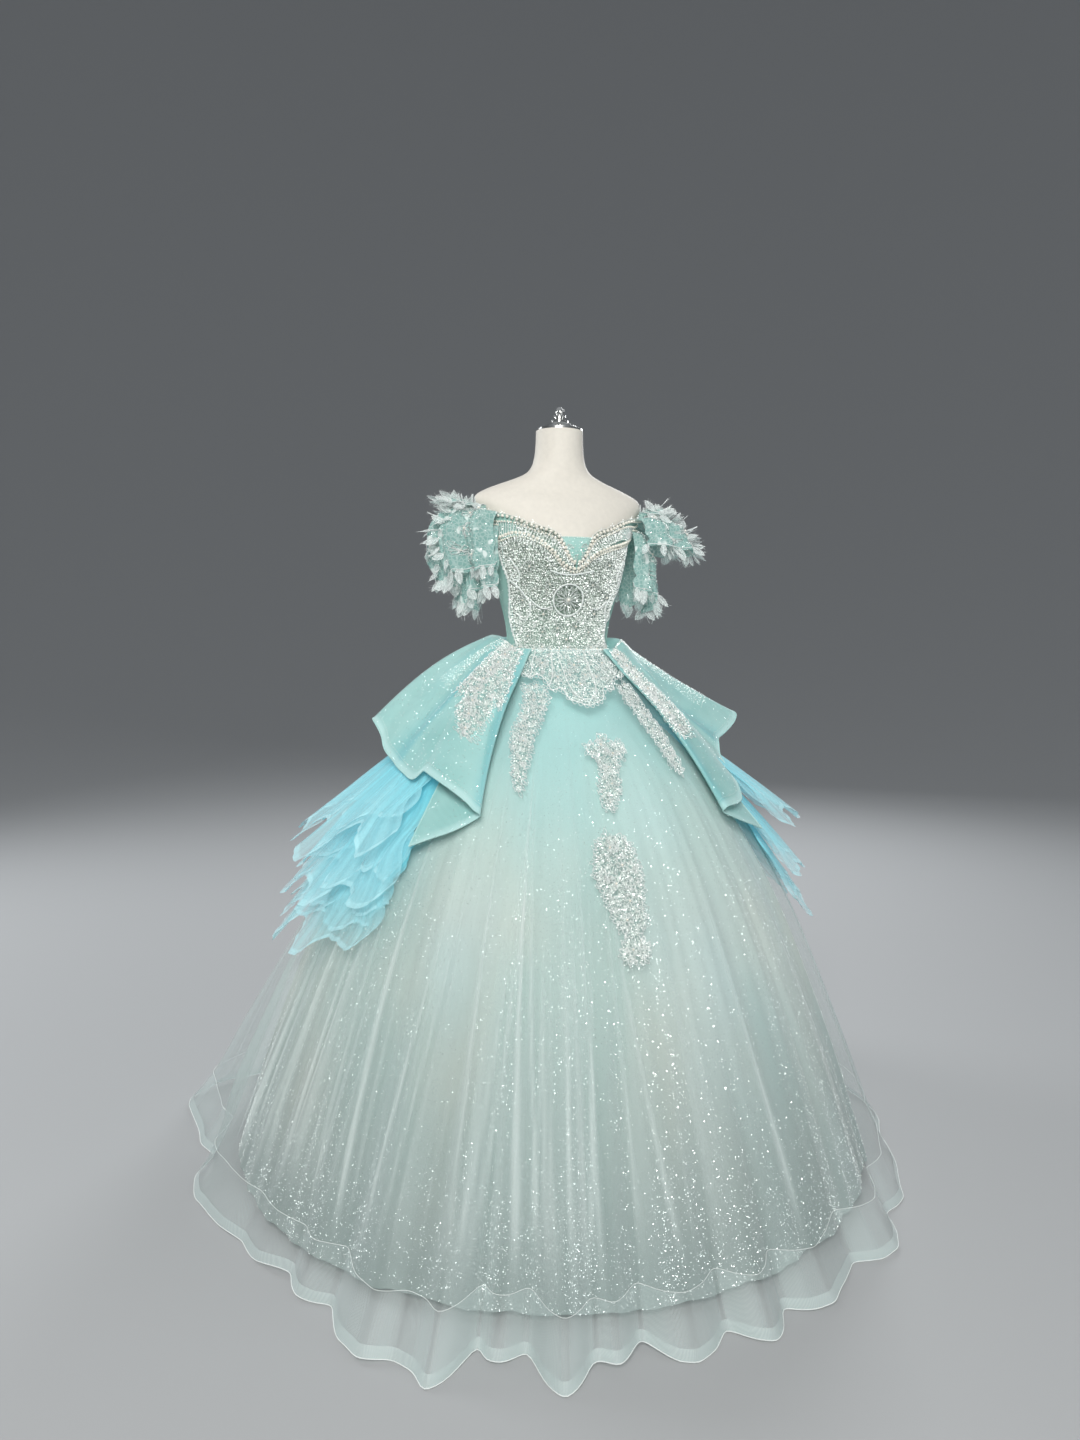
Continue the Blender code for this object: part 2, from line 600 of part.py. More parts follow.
def on_skirt(azimuth, height, offset):
    """A point on the overskirt's flat faces, moved out square to the slope."""
    columns = SKIRT_COLUMNS
    while azimuth < columns[0]:
        azimuth += 360.0
    while azimuth >= columns[0] + 360.0:
        azimuth -= 360.0
    after = bisect_right(columns, azimuth)
    near = after - 1
    far = after % len(columns)
    step = (columns[far] - columns[near]) % 360.0
    part = (azimuth - columns[near]) / step
    heights = [row[0].z for row in SKIRT_ROWS]
    level = 1
    while level < len(heights) - 1 and heights[level] > height:
        level += 1
    upper, lower = SKIRT_ROWS[level - 1], SKIRT_ROWS[level]
    down = (heights[level - 1] - height) / (heights[level - 1] - heights[level])
    top = upper[near].lerp(upper[far], part)
    low = lower[near].lerp(lower[far], part)
    point = top.lerp(low, down)
    along = upper[far] - upper[near]
    slope = low - top
    normal = slope.cross(along).normalized()
    return point + normal * offset


def make_skirts():
    add_sheet("skirt_lining", lining_rows(), "glitter_cloth", closed=True)
    split = len(SKIRT_ROWS) - 3
    add_sheet("skirt_overlay", SKIRT_ROWS[:split + 1], "tulle_pale", closed=True)
    upper, lower = SKIRT_ROWS[split], SKIRT_ROWS[split + 1]
    share = SEAM / (upper[0].z - lower[0].z)
    seam_row = [high.lerp(low, share) for high, low in zip(upper, lower)]
    add_sheet("hem_braid", [seam_row] + SKIRT_ROWS[split + 1:], "horsehair_braid", closed=True)


# ---- lace that lies on the skirt ----
def strip_rows(levels, offset, columns):
    """A strip down the skirt, wide as its table says, with a row wherever the skirt has one."""
    heights = {level.height for level in levels}
    inside = [row[0].z for row in SKIRT_ROWS if min(heights) < row[0].z < max(heights)]
    rows = []
    for height in sorted(heights.union(inside), reverse=True):
        azimuth = between(levels, "height", height, "azimuth")
        radius = hypot(*on_skirt(azimuth, height, 0.0).xy)
        half = degrees(between(levels, "height", height, "half_width") / radius)
        shares = [2.0 * column / (columns - 1) - 1.0 for column in range(columns)]
        rows.append([on_skirt(azimuth + share * half, height, offset) for share in shares])
    return rows


def make_skirt_lace():
    rows = []
    for share in BASQUE_SHARES:
        row = []
        for column in BASQUE:
            height = BASQUE_TOP + (column.bottom - BASQUE_TOP) * share
            row.append(on_skirt(column.azimuth, height, APPLIQUE_OFFSET))
        rows.append(row)
    add_sheet("basque", rows, "beaded_lace")
    for side in SIDES:
        rows = strip_rows(TAILS[side], TAIL_OFFSET, TAIL_COLUMNS)
        add_sheet("basque_tail_" + side, rows, "beaded_lace")
    for name, levels in APPLIQUES.items():
        rows = strip_rows(levels, APPLIQUE_OFFSET, APPLIQUE_COLUMNS)
        add_sheet(name, rows, "beaded_lace")


# ---- hip drapes ----
def peplum_rows(columns, hip_arch):
    """From the waist to the lower edge, but never inside the skirt's surface."""
    rows = []
    for share in PEPLUM_SHARES:
        row = []
        for column in columns:
            waist = on_skirt(column.waist, PEPLUM_WAIST_LEVEL, 0.0)
            waist_gap = min(column.clearance * PEPLUM_WAIST_SHARE, PEPLUM_WAIST_OFFSET)
            start = hypot(*waist.xy) + waist_gap
            if share == 0.0:
                folded = at_azimuth(column.waist, start, WAIST_HEIGHT)
                sewn = on_skirt(column.waist, PEPLUM_WAIST_LEVEL, PEPLUM_SEAT)
                row.append(folded.lerp(sewn, smooth(*SEWN_DOWN, abs(column.waist))))
                continue
            azimuth = column.waist + (column.azimuth - column.waist) * share
            height = WAIST_HEIGHT + (column.height - WAIST_HEIGHT) * share
            puff = smooth(*PUFF_START, abs(column.waist))
            front_arch = PEPLUM_ARCH * column.clearance / PEPLUM_CLEARANCE
            arch = front_arch + (hip_arch - front_arch) * puff
            height += arch * sin(pi * share)
            height += PEPLUM_PUFF * puff * (1.0 - share)
            radius = start + (column.radius - start) * share
            skirt = hypot(*on_skirt(azimuth, min(height, OVERLAY_WAIST), 0.0).xy)
            radius = max(radius, skirt + column.clearance * smooth(*CLEARANCE_START, share))
            row.append(at_azimuth(azimuth, radius, height))
        rows.append(row)
    return rows


def moved_out(rows, distance):
    """The rows of a sheet moved out along the sheet's own normals."""
    moved = []
    for level, row in enumerate(rows):
        above, below = rows[max(level - 1, 0)], rows[min(level + 1, len(rows) - 1)]
        new_row = []
        for place, point in enumerate(row):
            left, right = row[max(place - 1, 0)], row[min(place + 1, len(row) - 1)]
            normal = (below[place] - above[place]).cross(right - left).normalized()
            new_row.append(point + normal * distance)
        moved.append(new_row)
    return moved


def make_peplums():
    for side in SIDES:
        columns = PEPLUMS[side]
        rows = peplum_rows(columns, HIP_ARCH[side])
        first, last, top, bottom = PEPLUM_LACE[side]
        if side == "r":
            rows = [row[::-1] for row in rows]
            first, last = len(columns) - 1 - last, len(columns) - 1 - first
        add_sheet("peplum_" + side, rows, "aqua_organza")
        lace = [row[first:last + 1] for row in moved_out(rows, WALL + 2 * LAYER)]
        add_sheet("peplum_lace_" + side, lace[top:bottom + 1], "beaded_lace")


# ---- tulle ruffles ----
def ruffle_rows(ruffle, sign):
    """A tier of tulle that leaves the skirt at its top and flutes towards its hem."""
    outer = ruffle.right if sign > 0 else ruffle.left
    count = int(ruffle.waves * RUFFLE_COLUMNS_PER_WAVE) + 1
    rows = []
    for share in RUFFLE_SHARES:
        row = []
        for column in range(count):
            along = column / (count - 1)
            azimuth = ruffle.front + (ruffle.back - ruffle.front) * along
            opened = smooth(*RUFFLE_OPENING, azimuth)
            opened = RUFFLE_FRONT_REACH + (1.0 - RUFFLE_FRONT_REACH) * opened
            swing = sin(2 * pi * ruffle.waves * along)
            height = ruffle.top + (ruffle.hem - ruffle.top) * share
            height -= RUFFLE_SWING * share * swing
            if share == 0.0:
                row.append(on_skirt(sign * azimuth, ruffle.top, RUFFLE_SEAT))
                continue
            stand = RUFFLE_ROOT + (outer + ruffle.wave * swing) * opened * share
            skirt = on_skirt(sign * azimuth, height, 0.0)
            row.append(at_azimuth(sign * azimuth, hypot(*skirt.xy) + stand, height))
        rows.append(row if sign > 0 else row[::-1])
    return rows


def make_ruffles():
    for side, sign in SIDES.items():
        for ruffle in RUFFLES:
            add_sheet(f"{ruffle.name}_{side}", ruffle_rows(ruffle, sign), "blue_tulle")


clear_scene()
GOWN = make_collection("ball_gown")
MADE_MATERIALS = make_materials()
SKIRT_COLUMNS = skirt_columns()
SKIRT_ROWS = overlay_rows(SKIRT_COLUMNS)
make_form()
make_bodice()
make_neckbands()
make_sleeves()
make_skirts()
make_skirt_lace()
make_peplums()
make_ruffles()
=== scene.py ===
"""The looks of a ball gown on its dress form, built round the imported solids.

Lengths are metres. An azimuth runs round the form's pole in degrees, 0 at the front (-Y)
and growing towards +X. Cloth is a thin shell on its solid's form, with folds added here.
"""

import math

import bpy
import numpy as np
from mathutils import Matrix, Vector


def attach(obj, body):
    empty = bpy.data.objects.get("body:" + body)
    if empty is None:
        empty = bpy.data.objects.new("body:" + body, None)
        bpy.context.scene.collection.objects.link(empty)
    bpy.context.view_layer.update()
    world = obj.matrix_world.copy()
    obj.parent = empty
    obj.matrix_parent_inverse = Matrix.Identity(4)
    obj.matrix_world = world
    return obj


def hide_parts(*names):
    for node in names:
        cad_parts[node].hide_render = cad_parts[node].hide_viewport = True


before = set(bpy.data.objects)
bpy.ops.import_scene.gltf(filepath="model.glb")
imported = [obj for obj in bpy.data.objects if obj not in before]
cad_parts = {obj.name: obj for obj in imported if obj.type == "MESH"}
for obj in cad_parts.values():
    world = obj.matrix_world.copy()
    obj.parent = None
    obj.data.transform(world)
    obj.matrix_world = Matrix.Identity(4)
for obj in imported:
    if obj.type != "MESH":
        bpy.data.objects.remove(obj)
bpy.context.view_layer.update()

# ---- sizes ----
WALL = 0.0015
WAIST = 1.122
BODICE_OFFSET = 0.0035
BAND_OFFSET = 0.0064
SKIRT_STEP = 0.5
HEM_ZONE, HEM_ROW = 0.12, 0.006
RING_MATCH = 2e-4
# The fewest points that make a ring of each solid.
SECTION_POINTS, LINING_POINTS, OVERLAY_POINTS = 30, 250, 500
SKIRT_TOP = 1.1210
BRAID_TOP = 0.085
HEM_LOW = 0.0016
SIDES = {"l": -1.0, "r": 1.0}

LINING_HEM = 0.020
FLAKE_COUNT, FLAKE_LIFT = 26000, 0.0012
WAIST_ROWS_END = 1.06
HEM_BINDING = 0.015
OVERLAY_WAIST = 1.118
PEPLUM_SEAT = 2 * WALL
PEPLUM_WAIST_LEVEL = WAIST - 0.010
PEPLUM_WAIST_OFFSET = 0.0075
PEPLUM_WAIST_SHARE = 0.35
PEPLUM_CLEARANCE = 0.036
PEPLUM_FIRST_SHARE = 0.06
PEPLUM_ARCH = 0.016
HIP_ARCH = {"l": 0.024, "r": -0.006}
PEPLUM_PUFF = 0.036
PUFF_START = (48.0, 80.0)
SEWN_DOWN = (61.0, 70.0)
CLEARANCE_START = (-0.35, 0.42)
RUFFLE_ROOT = 0.0050
RUFFLE_SWING = 0.022
RUFFLE_OPENING = (50.0, 84.0)
RUFFLE_FRONT_REACH = 0.30
# How much shorter and how much closer each layer of a tier is than the one before it.
LAYER_RISE, LAYER_STEP_IN = 0.16, 0.26
BAND_OVERHANG = 0.008
BAND_LIFT = 0.030
ARM_OPENING = (60.0, 85.0)
BACK_JOIN = (118.0, 136.0)
BEADED_FRONT = (40.0, 52.0)
INSERT_OFFSET = 0.0014
PLACKET_OFFSET = BODICE_OFFSET + 2 * WALL + 0.0007
WAIST_LACE_OFFSET = 0.0105
INSERT_SPAN, INSERT_HEIGHTS = (-20.0, 20.0), (1.3645, 1.285)
PLACKET_SPAN = (172.0, 188.0)
FRONT_SEAM, BACK_SEAM = 68.0, 112.0
CENTRE_BACK = 179.0


def table(columns, *rows):
    """Rows of a short table, as one array for each named column."""
    return dict(zip(columns.split(), np.array(rows, float).T))


# ---- numbers ----
def soft(low, high, value):
    share = np.clip((value - low) / (high - low), 0.0, 1.0)
    return share * share * (3.0 - 2.0 * share)


def curve(at, keys, values):
    """A smooth curve through a table's points, held level past its ends."""
    keys, values = np.asarray(keys, float), np.asarray(values, float)
    order = np.argsort(keys)
    keys, values = keys[order], values[order]
    slopes = np.gradient(values, keys)
    at = np.clip(at, keys[0], keys[-1])
    i = np.clip(np.searchsorted(keys, at, side="right") - 1, 0, len(keys) - 2)
    step = keys[i + 1] - keys[i]
    t = (at - keys[i]) / step
    return ((2 * t**3 - 3 * t**2 + 1) * values[i] + (t**3 - 2 * t**2 + t) * step * slopes[i]
            + (3 * t**2 - 2 * t**3) * values[i + 1] + (t**3 - t**2) * step * slopes[i + 1])


def turned(azimuth):
    """Degrees brought into -180..180."""
    return (np.asarray(azimuth) + 180.0) % 360.0 - 180.0


def ripple(azimuth, orders, seed):
    """Smooth uneven waves round the pole, about 1 high in all."""
    rng = np.random.default_rng(seed)
    total = 0.0
    for order in orders:
        total = total + rng.uniform(0.5, 1.0) * np.cos(
            np.radians(azimuth) * order + rng.uniform(0.0, 2 * math.pi))
    return total / math.sqrt(len(orders))


def ridges(azimuth, down, count, half_width, seed, drift=2.0, span=(-180.0, 180.0)):
    """Soft ridges that run down a skirt, uneven in place, width, depth and length."""
    rng = np.random.default_rng(seed)
    total = np.zeros(np.broadcast(azimuth, down).shape)
    for _ in range(count):
        centre = rng.uniform(*span) + rng.normal(0.0, drift) * down
        half = rng.uniform(*half_width) * (0.5 + 0.6 * down)
        start = rng.uniform(-0.1, 0.45)
        height = rng.uniform(0.3, 1.0) * soft(start, start + 0.6, down)
        total += height * np.exp(-(turned(azimuth - centre) / half) ** 2)
    return total


def polar(azimuth, radius, height):
    angle = np.radians(azimuth)
    return np.stack(np.broadcast_arrays(radius * np.sin(angle), -radius * np.cos(angle),
                                        height), axis=-1)


def units(vectors):
    return vectors / np.maximum(np.linalg.norm(vectors, axis=-1, keepdims=True), 1e-9)


def inside(x, y, outline):
    """Which points lie inside a closed outline."""
    found = np.zeros(np.broadcast(x, y).shape, bool)
    for (x1, y1), (x2, y2) in zip(outline, np.roll(outline, -1, axis=0)):
        if y1 != y2:
            found ^= ((y1 > y) != (y2 > y)) & (x < x1 + (y - y1) * (x2 - x1) / (y2 - y1))
    return found


# ---- meshes ----
def add_object(name, data):
    made = bpy.data.objects.new(name, data)
    bpy.context.scene.collection.objects.link(made)
    return made


def add_mesh(name, verts, faces, material, smooth=True):
    """A mesh object from points and from lists of their numbers, one list a face."""
    mesh = bpy.data.meshes.new(name)
    mesh.from_pydata(np.asarray(verts, float).reshape(-1, 3).tolist(), [], faces)
    mesh.materials.append(material)
    mesh.polygons.foreach_set("use_smooth", [smooth] * len(mesh.polygons))
    return add_object(name, mesh)


def make_piece(name, verts, faces, material, slot, smooth=True, attributes=None):
    """A piece of the gown, with named values at its points for its material to read."""
    piece = add_mesh(name, verts, np.asarray(faces).tolist(), material, smooth)
    for key, values in (attributes or {}).items():
        layer = piece.data.attributes.new(key, "FLOAT", "POINT")
        layer.data.foreach_set("value", np.asarray(values, np.float32).ravel())
    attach(piece, "root")
    return piece


def grid_faces(rows, columns, closed=False, first=0):
    """Faces of a grid whose rows run down and whose columns run by growing azimuth."""
    top = np.arange(rows - 1)[:, None] * columns
    near = np.arange(columns if closed else columns - 1)[None, :]
    far = (near + 1) % columns
    faces = [top + near, top + columns + near, top + columns + far, top + far]
    return np.stack(np.broadcast_arrays(*faces), axis=-1).reshape(-1, 4) + first


def grid_normals(points, closed=False):
    if closed:
        around = np.roll(points, -1, axis=1) - np.roll(points, 1, axis=1)
    else:
        around = np.gradient(points, axis=1)
    return units(np.cross(np.gradient(points, axis=0), around))


def flank(points, closed=False):
    """How far each point of a cloth stands side on to the pole: 0 facing out, 1 side on."""
    normal = grid_normals(points, closed)
    normal[..., 2] = 0.0
    out = points * (1.0, 1.0, 0.0)
    facing = np.clip(np.abs((units(normal) * units(out)).sum(-1)), 0.0, 1.0)
    return np.sqrt(1.0 - facing**2)


def add_cloth(name, points, material, slot, closed=False, **attributes):
    rows, columns = points.shape[:2]
    down = np.broadcast_to(np.linspace(0.0, 1.0, rows)[:, None], (rows, columns))
    shown = {"down": down, "flank": flank(points, closed), **attributes}
    return make_piece(name, points, grid_faces(rows, columns, closed), material, slot,
                      attributes=shown)


def joined(parts):
    """Several (verts, faces) as one."""
    verts, faces, count = [], [], 0
    for part_verts, part_faces in parts:
        verts.append(part_verts)
        faces.append(part_faces + count)
        count += len(part_verts)
    return np.concatenate(verts), np.concatenate(faces)


def tube(points, radius, sides=5):
    """A cord along a line of points; its radius may change along it."""
    points = np.asarray(points, float)
    along = units(np.gradient(points, axis=0))
    side = units(np.cross(along, (0.31, 0.22, 0.92)))
    up = np.cross(side, along)
    angles = 2 * math.pi * np.arange(sides) / sides
    radius = np.broadcast_to(radius, len(points))[:, None, None]
    ring = side[:, None] * np.cos(angles)[:, None] + up[:, None] * np.sin(angles)[:, None]
    verts = (points[:, None] + ring * radius).reshape(-1, 3)
    return verts, grid_faces(len(points), sides, closed=True)


# The smallest beads: six points and eight three-sided faces.
SMALL_BEAD = (
    np.array([(1, 0, 0), (-1, 0, 0), (0, 1, 0), (0, -1, 0), (0, 0, 1), (0, 0, -1)], float),
    np.array([(0, 2, 4), (2, 1, 4), (1, 3, 4), (3, 0, 4), (2, 0, 5), (1, 2, 5), (3, 1, 5),
              (0, 3, 5)]),
)


def rounder(form):
    """A rounder bead: each face of a form in four, its new points moved out to the ball."""
    axes, corners = form
    verts, middle, faces = list(axes), {}, []

    def between(a, b):
        key = (min(a, b), max(a, b))
        if key not in middle:
            middle[key] = len(verts)
            verts.append(units(axes[a] + axes[b]))
        return middle[key]

    for a, b, c in corners:
        ab, bc, ca = between(a, b), between(b, c), between(c, a)
        faces += [(a, ab, ca), (ab, b, bc), (ca, bc, c), (ab, bc, ca)]
    return np.array(verts), np.array(faces)


PEARL_FORM = rounder(SMALL_BEAD)


def scattered(form, points, radius, seed=1):
    """A form copied to each point, each copy turned its own way."""
    verts, faces = form
    rng = np.random.default_rng(seed)
    count = len(points)
    turns = units(rng.normal(size=(count, 4)))
    w, x, y, z = turns.T
    spin = np.array([[1 - 2 * (y * y + z * z), 2 * (x * y - z * w), 2 * (x * z + y * w)],
                     [2 * (x * y + z * w), 1 - 2 * (x * x + z * z), 2 * (y * z - x * w)],
                     [2 * (x * z - y * w), 2 * (y * z + x * w), 1 - 2 * (x * x + y * y)]])
    spin = spin.transpose(2, 0, 1)
    radius = np.broadcast_to(radius, count)[:, None, None]
    made = np.asarray(points)[:, None] + np.einsum("nij,kj->nki", spin, verts) * radius
    shift = (np.arange(count) * len(verts))[:, None, None]
    return made.reshape(-1, 3), (faces[None] + shift).reshape(-1, faces.shape[1])


# ---- tables: the neckline, the hip drapes and the ruffles ----
NECKLINE = table(
    "angle bodice band",
    (0.0, 1.302, 1.309), (6.0, 1.308, 1.322), (10.0, 1.318, 1.346), (14.0, 1.330, 1.368),
    (20.0, 1.344, 1.379), (30.0, 1.355, 1.388), (40.0, 1.366, 1.401), (50.0, 1.371, 1.411),
    (60.0, 1.367, 1.415), (70.0, 1.362, 1.417), (80.0, 1.355, 1.420), (90.0, 1.350, 1.424),
    (100.0, 1.348, 1.422), (112.0, 1.344, 1.415), (130.0, 1.336, 1.398),
    (150.0, 1.326, 1.380), (180.0, 1.318, 1.370),
)
PEPLUMS = {
    "l": table(
        "waist azimuth radius height clearance",
        (-171.0, -169.0, 0.382, 0.896, 0.030), (-163.0, -162.0, 0.408, 0.862, 0.032),
        (-156.0, -152.0, 0.388, 0.902, 0.034), (-148.0, -143.0, 0.404, 0.934, 0.036),
        (-140.0, -134.0, 0.396, 0.892, 0.036), (-131.0, -124.0, 0.398, 0.878, 0.036),
        (-122.0, -113.0, 0.392, 0.930, 0.036), (-112.0, -103.0, 0.405, 0.957, 0.036),
        (-104.0, -92.0, 0.416, 0.963, 0.036), (-97.0, -88.0, 0.404, 0.933, 0.036),
        (-90.0, -84.0, 0.403, 0.905, 0.036), (-84.0, -79.0, 0.392, 0.880, 0.036),
        (-79.0, -72.0, 0.398, 0.868, 0.036), (-74.0, -65.0, 0.405, 0.861, 0.036),
        (-69.0, -62.5, 0.388, 0.876, 0.032), (-65.0, -57.5, 0.397, 0.870, 0.030),
        (-60.0, -50.5, 0.408, 0.854, 0.028), (-54.0, -44.5, 0.412, 0.833, 0.024),
        (-49.5, -41.5, 0.412, 0.816, 0.022), (-48.0, -40.3, 0.408, 0.808, 0.018),
        (-48.6, -41.2, 0.404, 0.800, 0.013), (-52.0, -46.5, 0.430, 0.776, 0.013),
        (-56.0, -51.5, 0.447, 0.759, 0.014), (-60.0, -56.5, 0.468, 0.741, 0.016),
    ),
    "r": table(
        "waist azimuth radius height clearance",
        (171.0, 169.0, 0.380, 0.892, 0.030), (163.0, 161.0, 0.406, 0.866, 0.032),
        (155.0, 151.0, 0.390, 0.904, 0.034), (147.0, 141.0, 0.402, 0.938, 0.036),
        (139.0, 132.0, 0.398, 0.890, 0.036), (130.0, 121.0, 0.402, 0.882, 0.036),
        (121.0, 111.0, 0.404, 0.934, 0.036), (110.0, 101.0, 0.438, 0.972, 0.036),
        (101.0, 91.0, 0.461, 0.968, 0.036), (95.0, 87.5, 0.450, 0.950, 0.036),
        (89.0, 82.5, 0.412, 0.928, 0.036), (83.0, 78.0, 0.382, 0.912, 0.036),
        (78.0, 73.0, 0.382, 0.888, 0.036), (73.0, 69.0, 0.386, 0.872, 0.036),
        (68.0, 64.0, 0.396, 0.845, 0.032), (63.0, 57.5, 0.410, 0.826, 0.030),
        (57.0, 51.0, 0.425, 0.803, 0.028), (52.0, 45.5, 0.424, 0.800, 0.024),
        (47.0, 41.5, 0.420, 0.801, 0.022), (45.5, 40.2, 0.416, 0.796, 0.018),
        (46.1, 41.2, 0.414, 0.788, 0.013), (50.0, 46.5, 0.436, 0.768, 0.013),
        (54.0, 51.5, 0.452, 0.752, 0.014), (58.0, 56.5, 0.470, 0.736, 0.016),
    ),
}
BASQUE = table(
    "azimuth bottom",
    (-48.0, 1.070), (-40.0, 1.062), (-33.0, 1.066), (-27.0, 1.056), (-22.0, 1.036),
    (-16.0, 1.040), (-11.0, 1.018), (-6.0, 1.012), (-1.0, 1.006), (4.0, 1.012),
    (9.0, 1.018), (14.0, 1.040), (21.0, 1.036), (27.0, 1.056), (33.0, 1.062), (40.0, 1.060),
    (46.0, 1.070),
)
TAILS = {
    "l": table(
        "height azimuth half_width",
        (1.046, -34.0, 0.0240), (1.020, -30.5, 0.0260), (0.984, -31.5, 0.0230),
        (0.950, -33.0, 0.0260), (0.920, -32.0, 0.0200), (0.885, -31.5, 0.0150),
        (0.850, -30.5, 0.0060),
    ),
    "r": table(
        "height azimuth half_width",
        (1.046, 34.0, 0.0240), (1.020, 31.0, 0.0250), (0.984, 30.0, 0.0230),
        (0.950, 30.0, 0.0250), (0.920, 30.0, 0.0200), (0.895, 30.0, 0.0190),
        (0.870, 30.5, 0.0060),
    ),
}
BASQUE_TOP = WAIST - 0.006
LEAF_MARGIN = 0.0055
APPLIQUES = {
    "applique_upper": table(
        "height azimuth half_width",
        (0.952, 0.2, 0.008), (0.942, 0.3, 0.012), (0.935, 0.4, 0.014), (0.931, 0.5, 0.042),
        (0.919, 0.5, 0.044), (0.913, 0.3, 0.026), (0.895, 0.0, 0.022), (0.886, -0.4, 0.016),
        (0.870, -0.8, 0.022), (0.845, -1.8, 0.022), (0.826, -3.0, 0.012), (0.818, -3.4, 0.005),
    ),
    "applique_lower": table(
        "height azimuth half_width",
        (0.772, -3.8, 0.016), (0.758, -3.7, 0.034), (0.730, -3.6, 0.044),
        (0.700, -3.4, 0.048), (0.672, -3.0, 0.040), (0.645, -2.6, 0.034), (0.622, -2.4, 0.030),
        (0.612, -2.2, 0.016), (0.600, -2.2, 0.016), (0.590, -2.2, 0.028),
        (0.576, -2.4, 0.030), (0.562, -2.6, 0.012),
    ),
}
FLOUNCES = table(
    "start end top points root",
    (66.0, 122.0, 0.000, 9, 0.0006),
    (54.0, 128.0, 0.008, 13, 0.0008),
    (60.0, 122.0, 0.026, 10, 0.0008),
)
FLOUNCE_PROFILES = {
    "sleeve_frill_l": table("out rise", (0.0, -0.003), (0.026, 0.018), (0.058, 0.024)),
    "sleeve_frill_r": table("out rise", (0.0, -0.003), (0.026, 0.018), (0.058, 0.024)),
    "sleeve_upper_l": table(
        "out rise", (0.0, 0.000), (0.046, 0.014), (0.086, -0.022), (0.090, -0.088),
        (0.070, -0.148)),
    "sleeve_upper_r": table(
        "out rise", (0.0, 0.000), (0.048, 0.014), (0.094, -0.002), (0.122, -0.034),
        (0.138, -0.072)),
    "sleeve_lower_l": table(
        "out rise", (0.0, 0.000), (0.024, -0.020), (0.036, -0.100), (0.036, -0.178)),
    "sleeve_lower_r": table(
        "out rise", (0.0, 0.000), (0.026, -0.020), (0.050, -0.100), (0.052, -0.178)),
}
FLOUNCE_END_REACH = 0.35
FLOUNCE_END_FALL = 0.62
FLOUNCE_FRONT_REACH = 0.8
SLEEVE_WAVE = 0.017
SLEEVE_WAVES = 4.5
# The net leaves of the flounces: where they start down a flounce, their gap and lengths.
LEAF_ROOT, EDGE_LEAF_GAP = 0.97, 0.018
LEAF_LENGTHS, LASH_LENGTHS = (0.026, 0.038), (0.005, 0.010)
STRAY_COUNT, STRAY_DROPS = 14, (0.02, 0.045)
# The lace on each flounce: its width, its length and its count of flowers.
SLEEVE_LACE = (("upper", 0.26, 0.19, 16), ("lower", 0.22, 0.18, 9))
BODICE_SCALE = 0.0024
BODICE_EDGE_LEFT = ((-76.0, 1.350), (-69.5, 1.304), (-64.5, 1.268), (-67.5, 1.228),
                    (-74.5, 1.186), (-69.5, 1.150), (-62.0, 1.124))
BODICE_EDGE_RIGHT = ((58.0, 1.124), (51.0, 1.150), (51.0, 1.186), (55.5, 1.228),
                     (70.0, 1.270), (72.5, 1.348))
CUP_ROW = ((-83.0, 1.354), (-62.0, 1.366), (-48.5, 1.372), (-35.5, 1.364), (-27.0, 1.352),
           (-19.0, 1.332), (-11.0, 1.308), (-4.0, 1.297), (1.0, 1.296), (7.0, 1.306),
           (13.5, 1.323), (21.3, 1.335), (32.0, 1.345), (46.0, 1.354), (66.0, 1.368))
CORDS = {
    "arc": ((-22.0, 1.292), (-14.9, 1.286), (-4.7, 1.283), (7.2, 1.287), (16.7, 1.293)),
    "hook": ((-60.0, 1.320), (-54.4, 1.303), (-50.3, 1.285), (-51.6, 1.273), (-57.9, 1.273),
             (-59.9, 1.281), (-56.0, 1.285)),
    "scroll": ((-62.9, 1.272), (-54.3, 1.259), (-46.8, 1.239), (-41.9, 1.218),
               (-44.3, 1.196), (-52.3, 1.185), (-56.7, 1.192), (-53.3, 1.202)),
    "branch": ((-41.0, 1.229), (-35.2, 1.218), (-27.7, 1.210), (-21.8, 1.213)),
}
SEAMS = (-140.0, -112.0, -90.0, -68.0, 68.0, 90.0, 112.0, 140.0, 172.5, 187.5)
MEDALLION = (-4.4, 1.229)
MEDALLION_RADIUS = 0.034
MEDALLION_PETALS = 14
# Each flower's angle, height and size, and each leaf's angle, height, length and turn.
BODICE_FLOWERS = (
    (-28.6, 1.198, 0.014), (26.0, 1.200, 0.013), (-14.0, 1.168, 0.011), (6.0, 1.172, 0.012),
    (-30.0, 1.160, 0.010), (22.0, 1.160, 0.010), (-50.0, 1.228, 0.010), (40.0, 1.236, 0.012),
    (-40.0, 1.300, 0.012), (34.0, 1.306, 0.012), (-22.0, 1.262, 0.010), (18.0, 1.262, 0.010),
    (-48.0, 1.150, 0.010), (-4.0, 1.144, 0.013),
)
BODICE_LEAVES = (
    (-60.0, 1.345, 0.020, 190.0), (-36.0, 1.185, 0.016, 230.0), (-20.0, 1.190, 0.016, 320.0),
    (12.0, 1.196, 0.016, 220.0), (30.0, 1.222, 0.016, 40.0), (-56.0, 1.170, 0.016, 250.0),
    (38.0, 1.170, 0.016, 290.0), (46.0, 1.290, 0.018, 60.0),
)
INSERT_EDGE = ((-15.0, 1.3630), (15.0, 1.3630), (7.0, 1.325), (0.0, 1.300), (-7.0, 1.325))
INSERT_ROW = ((-17.0, 1.3630), (0.0, 1.3630), (17.0, 1.3630))
INSERT_LEAVES = ((-5.0, 1.322, 120.0), (5.0, 1.320, 60.0), (0.0, 1.312, 90.0),
                 (-2.0, 1.340, 150.0), (4.0, 1.342, 30.0))
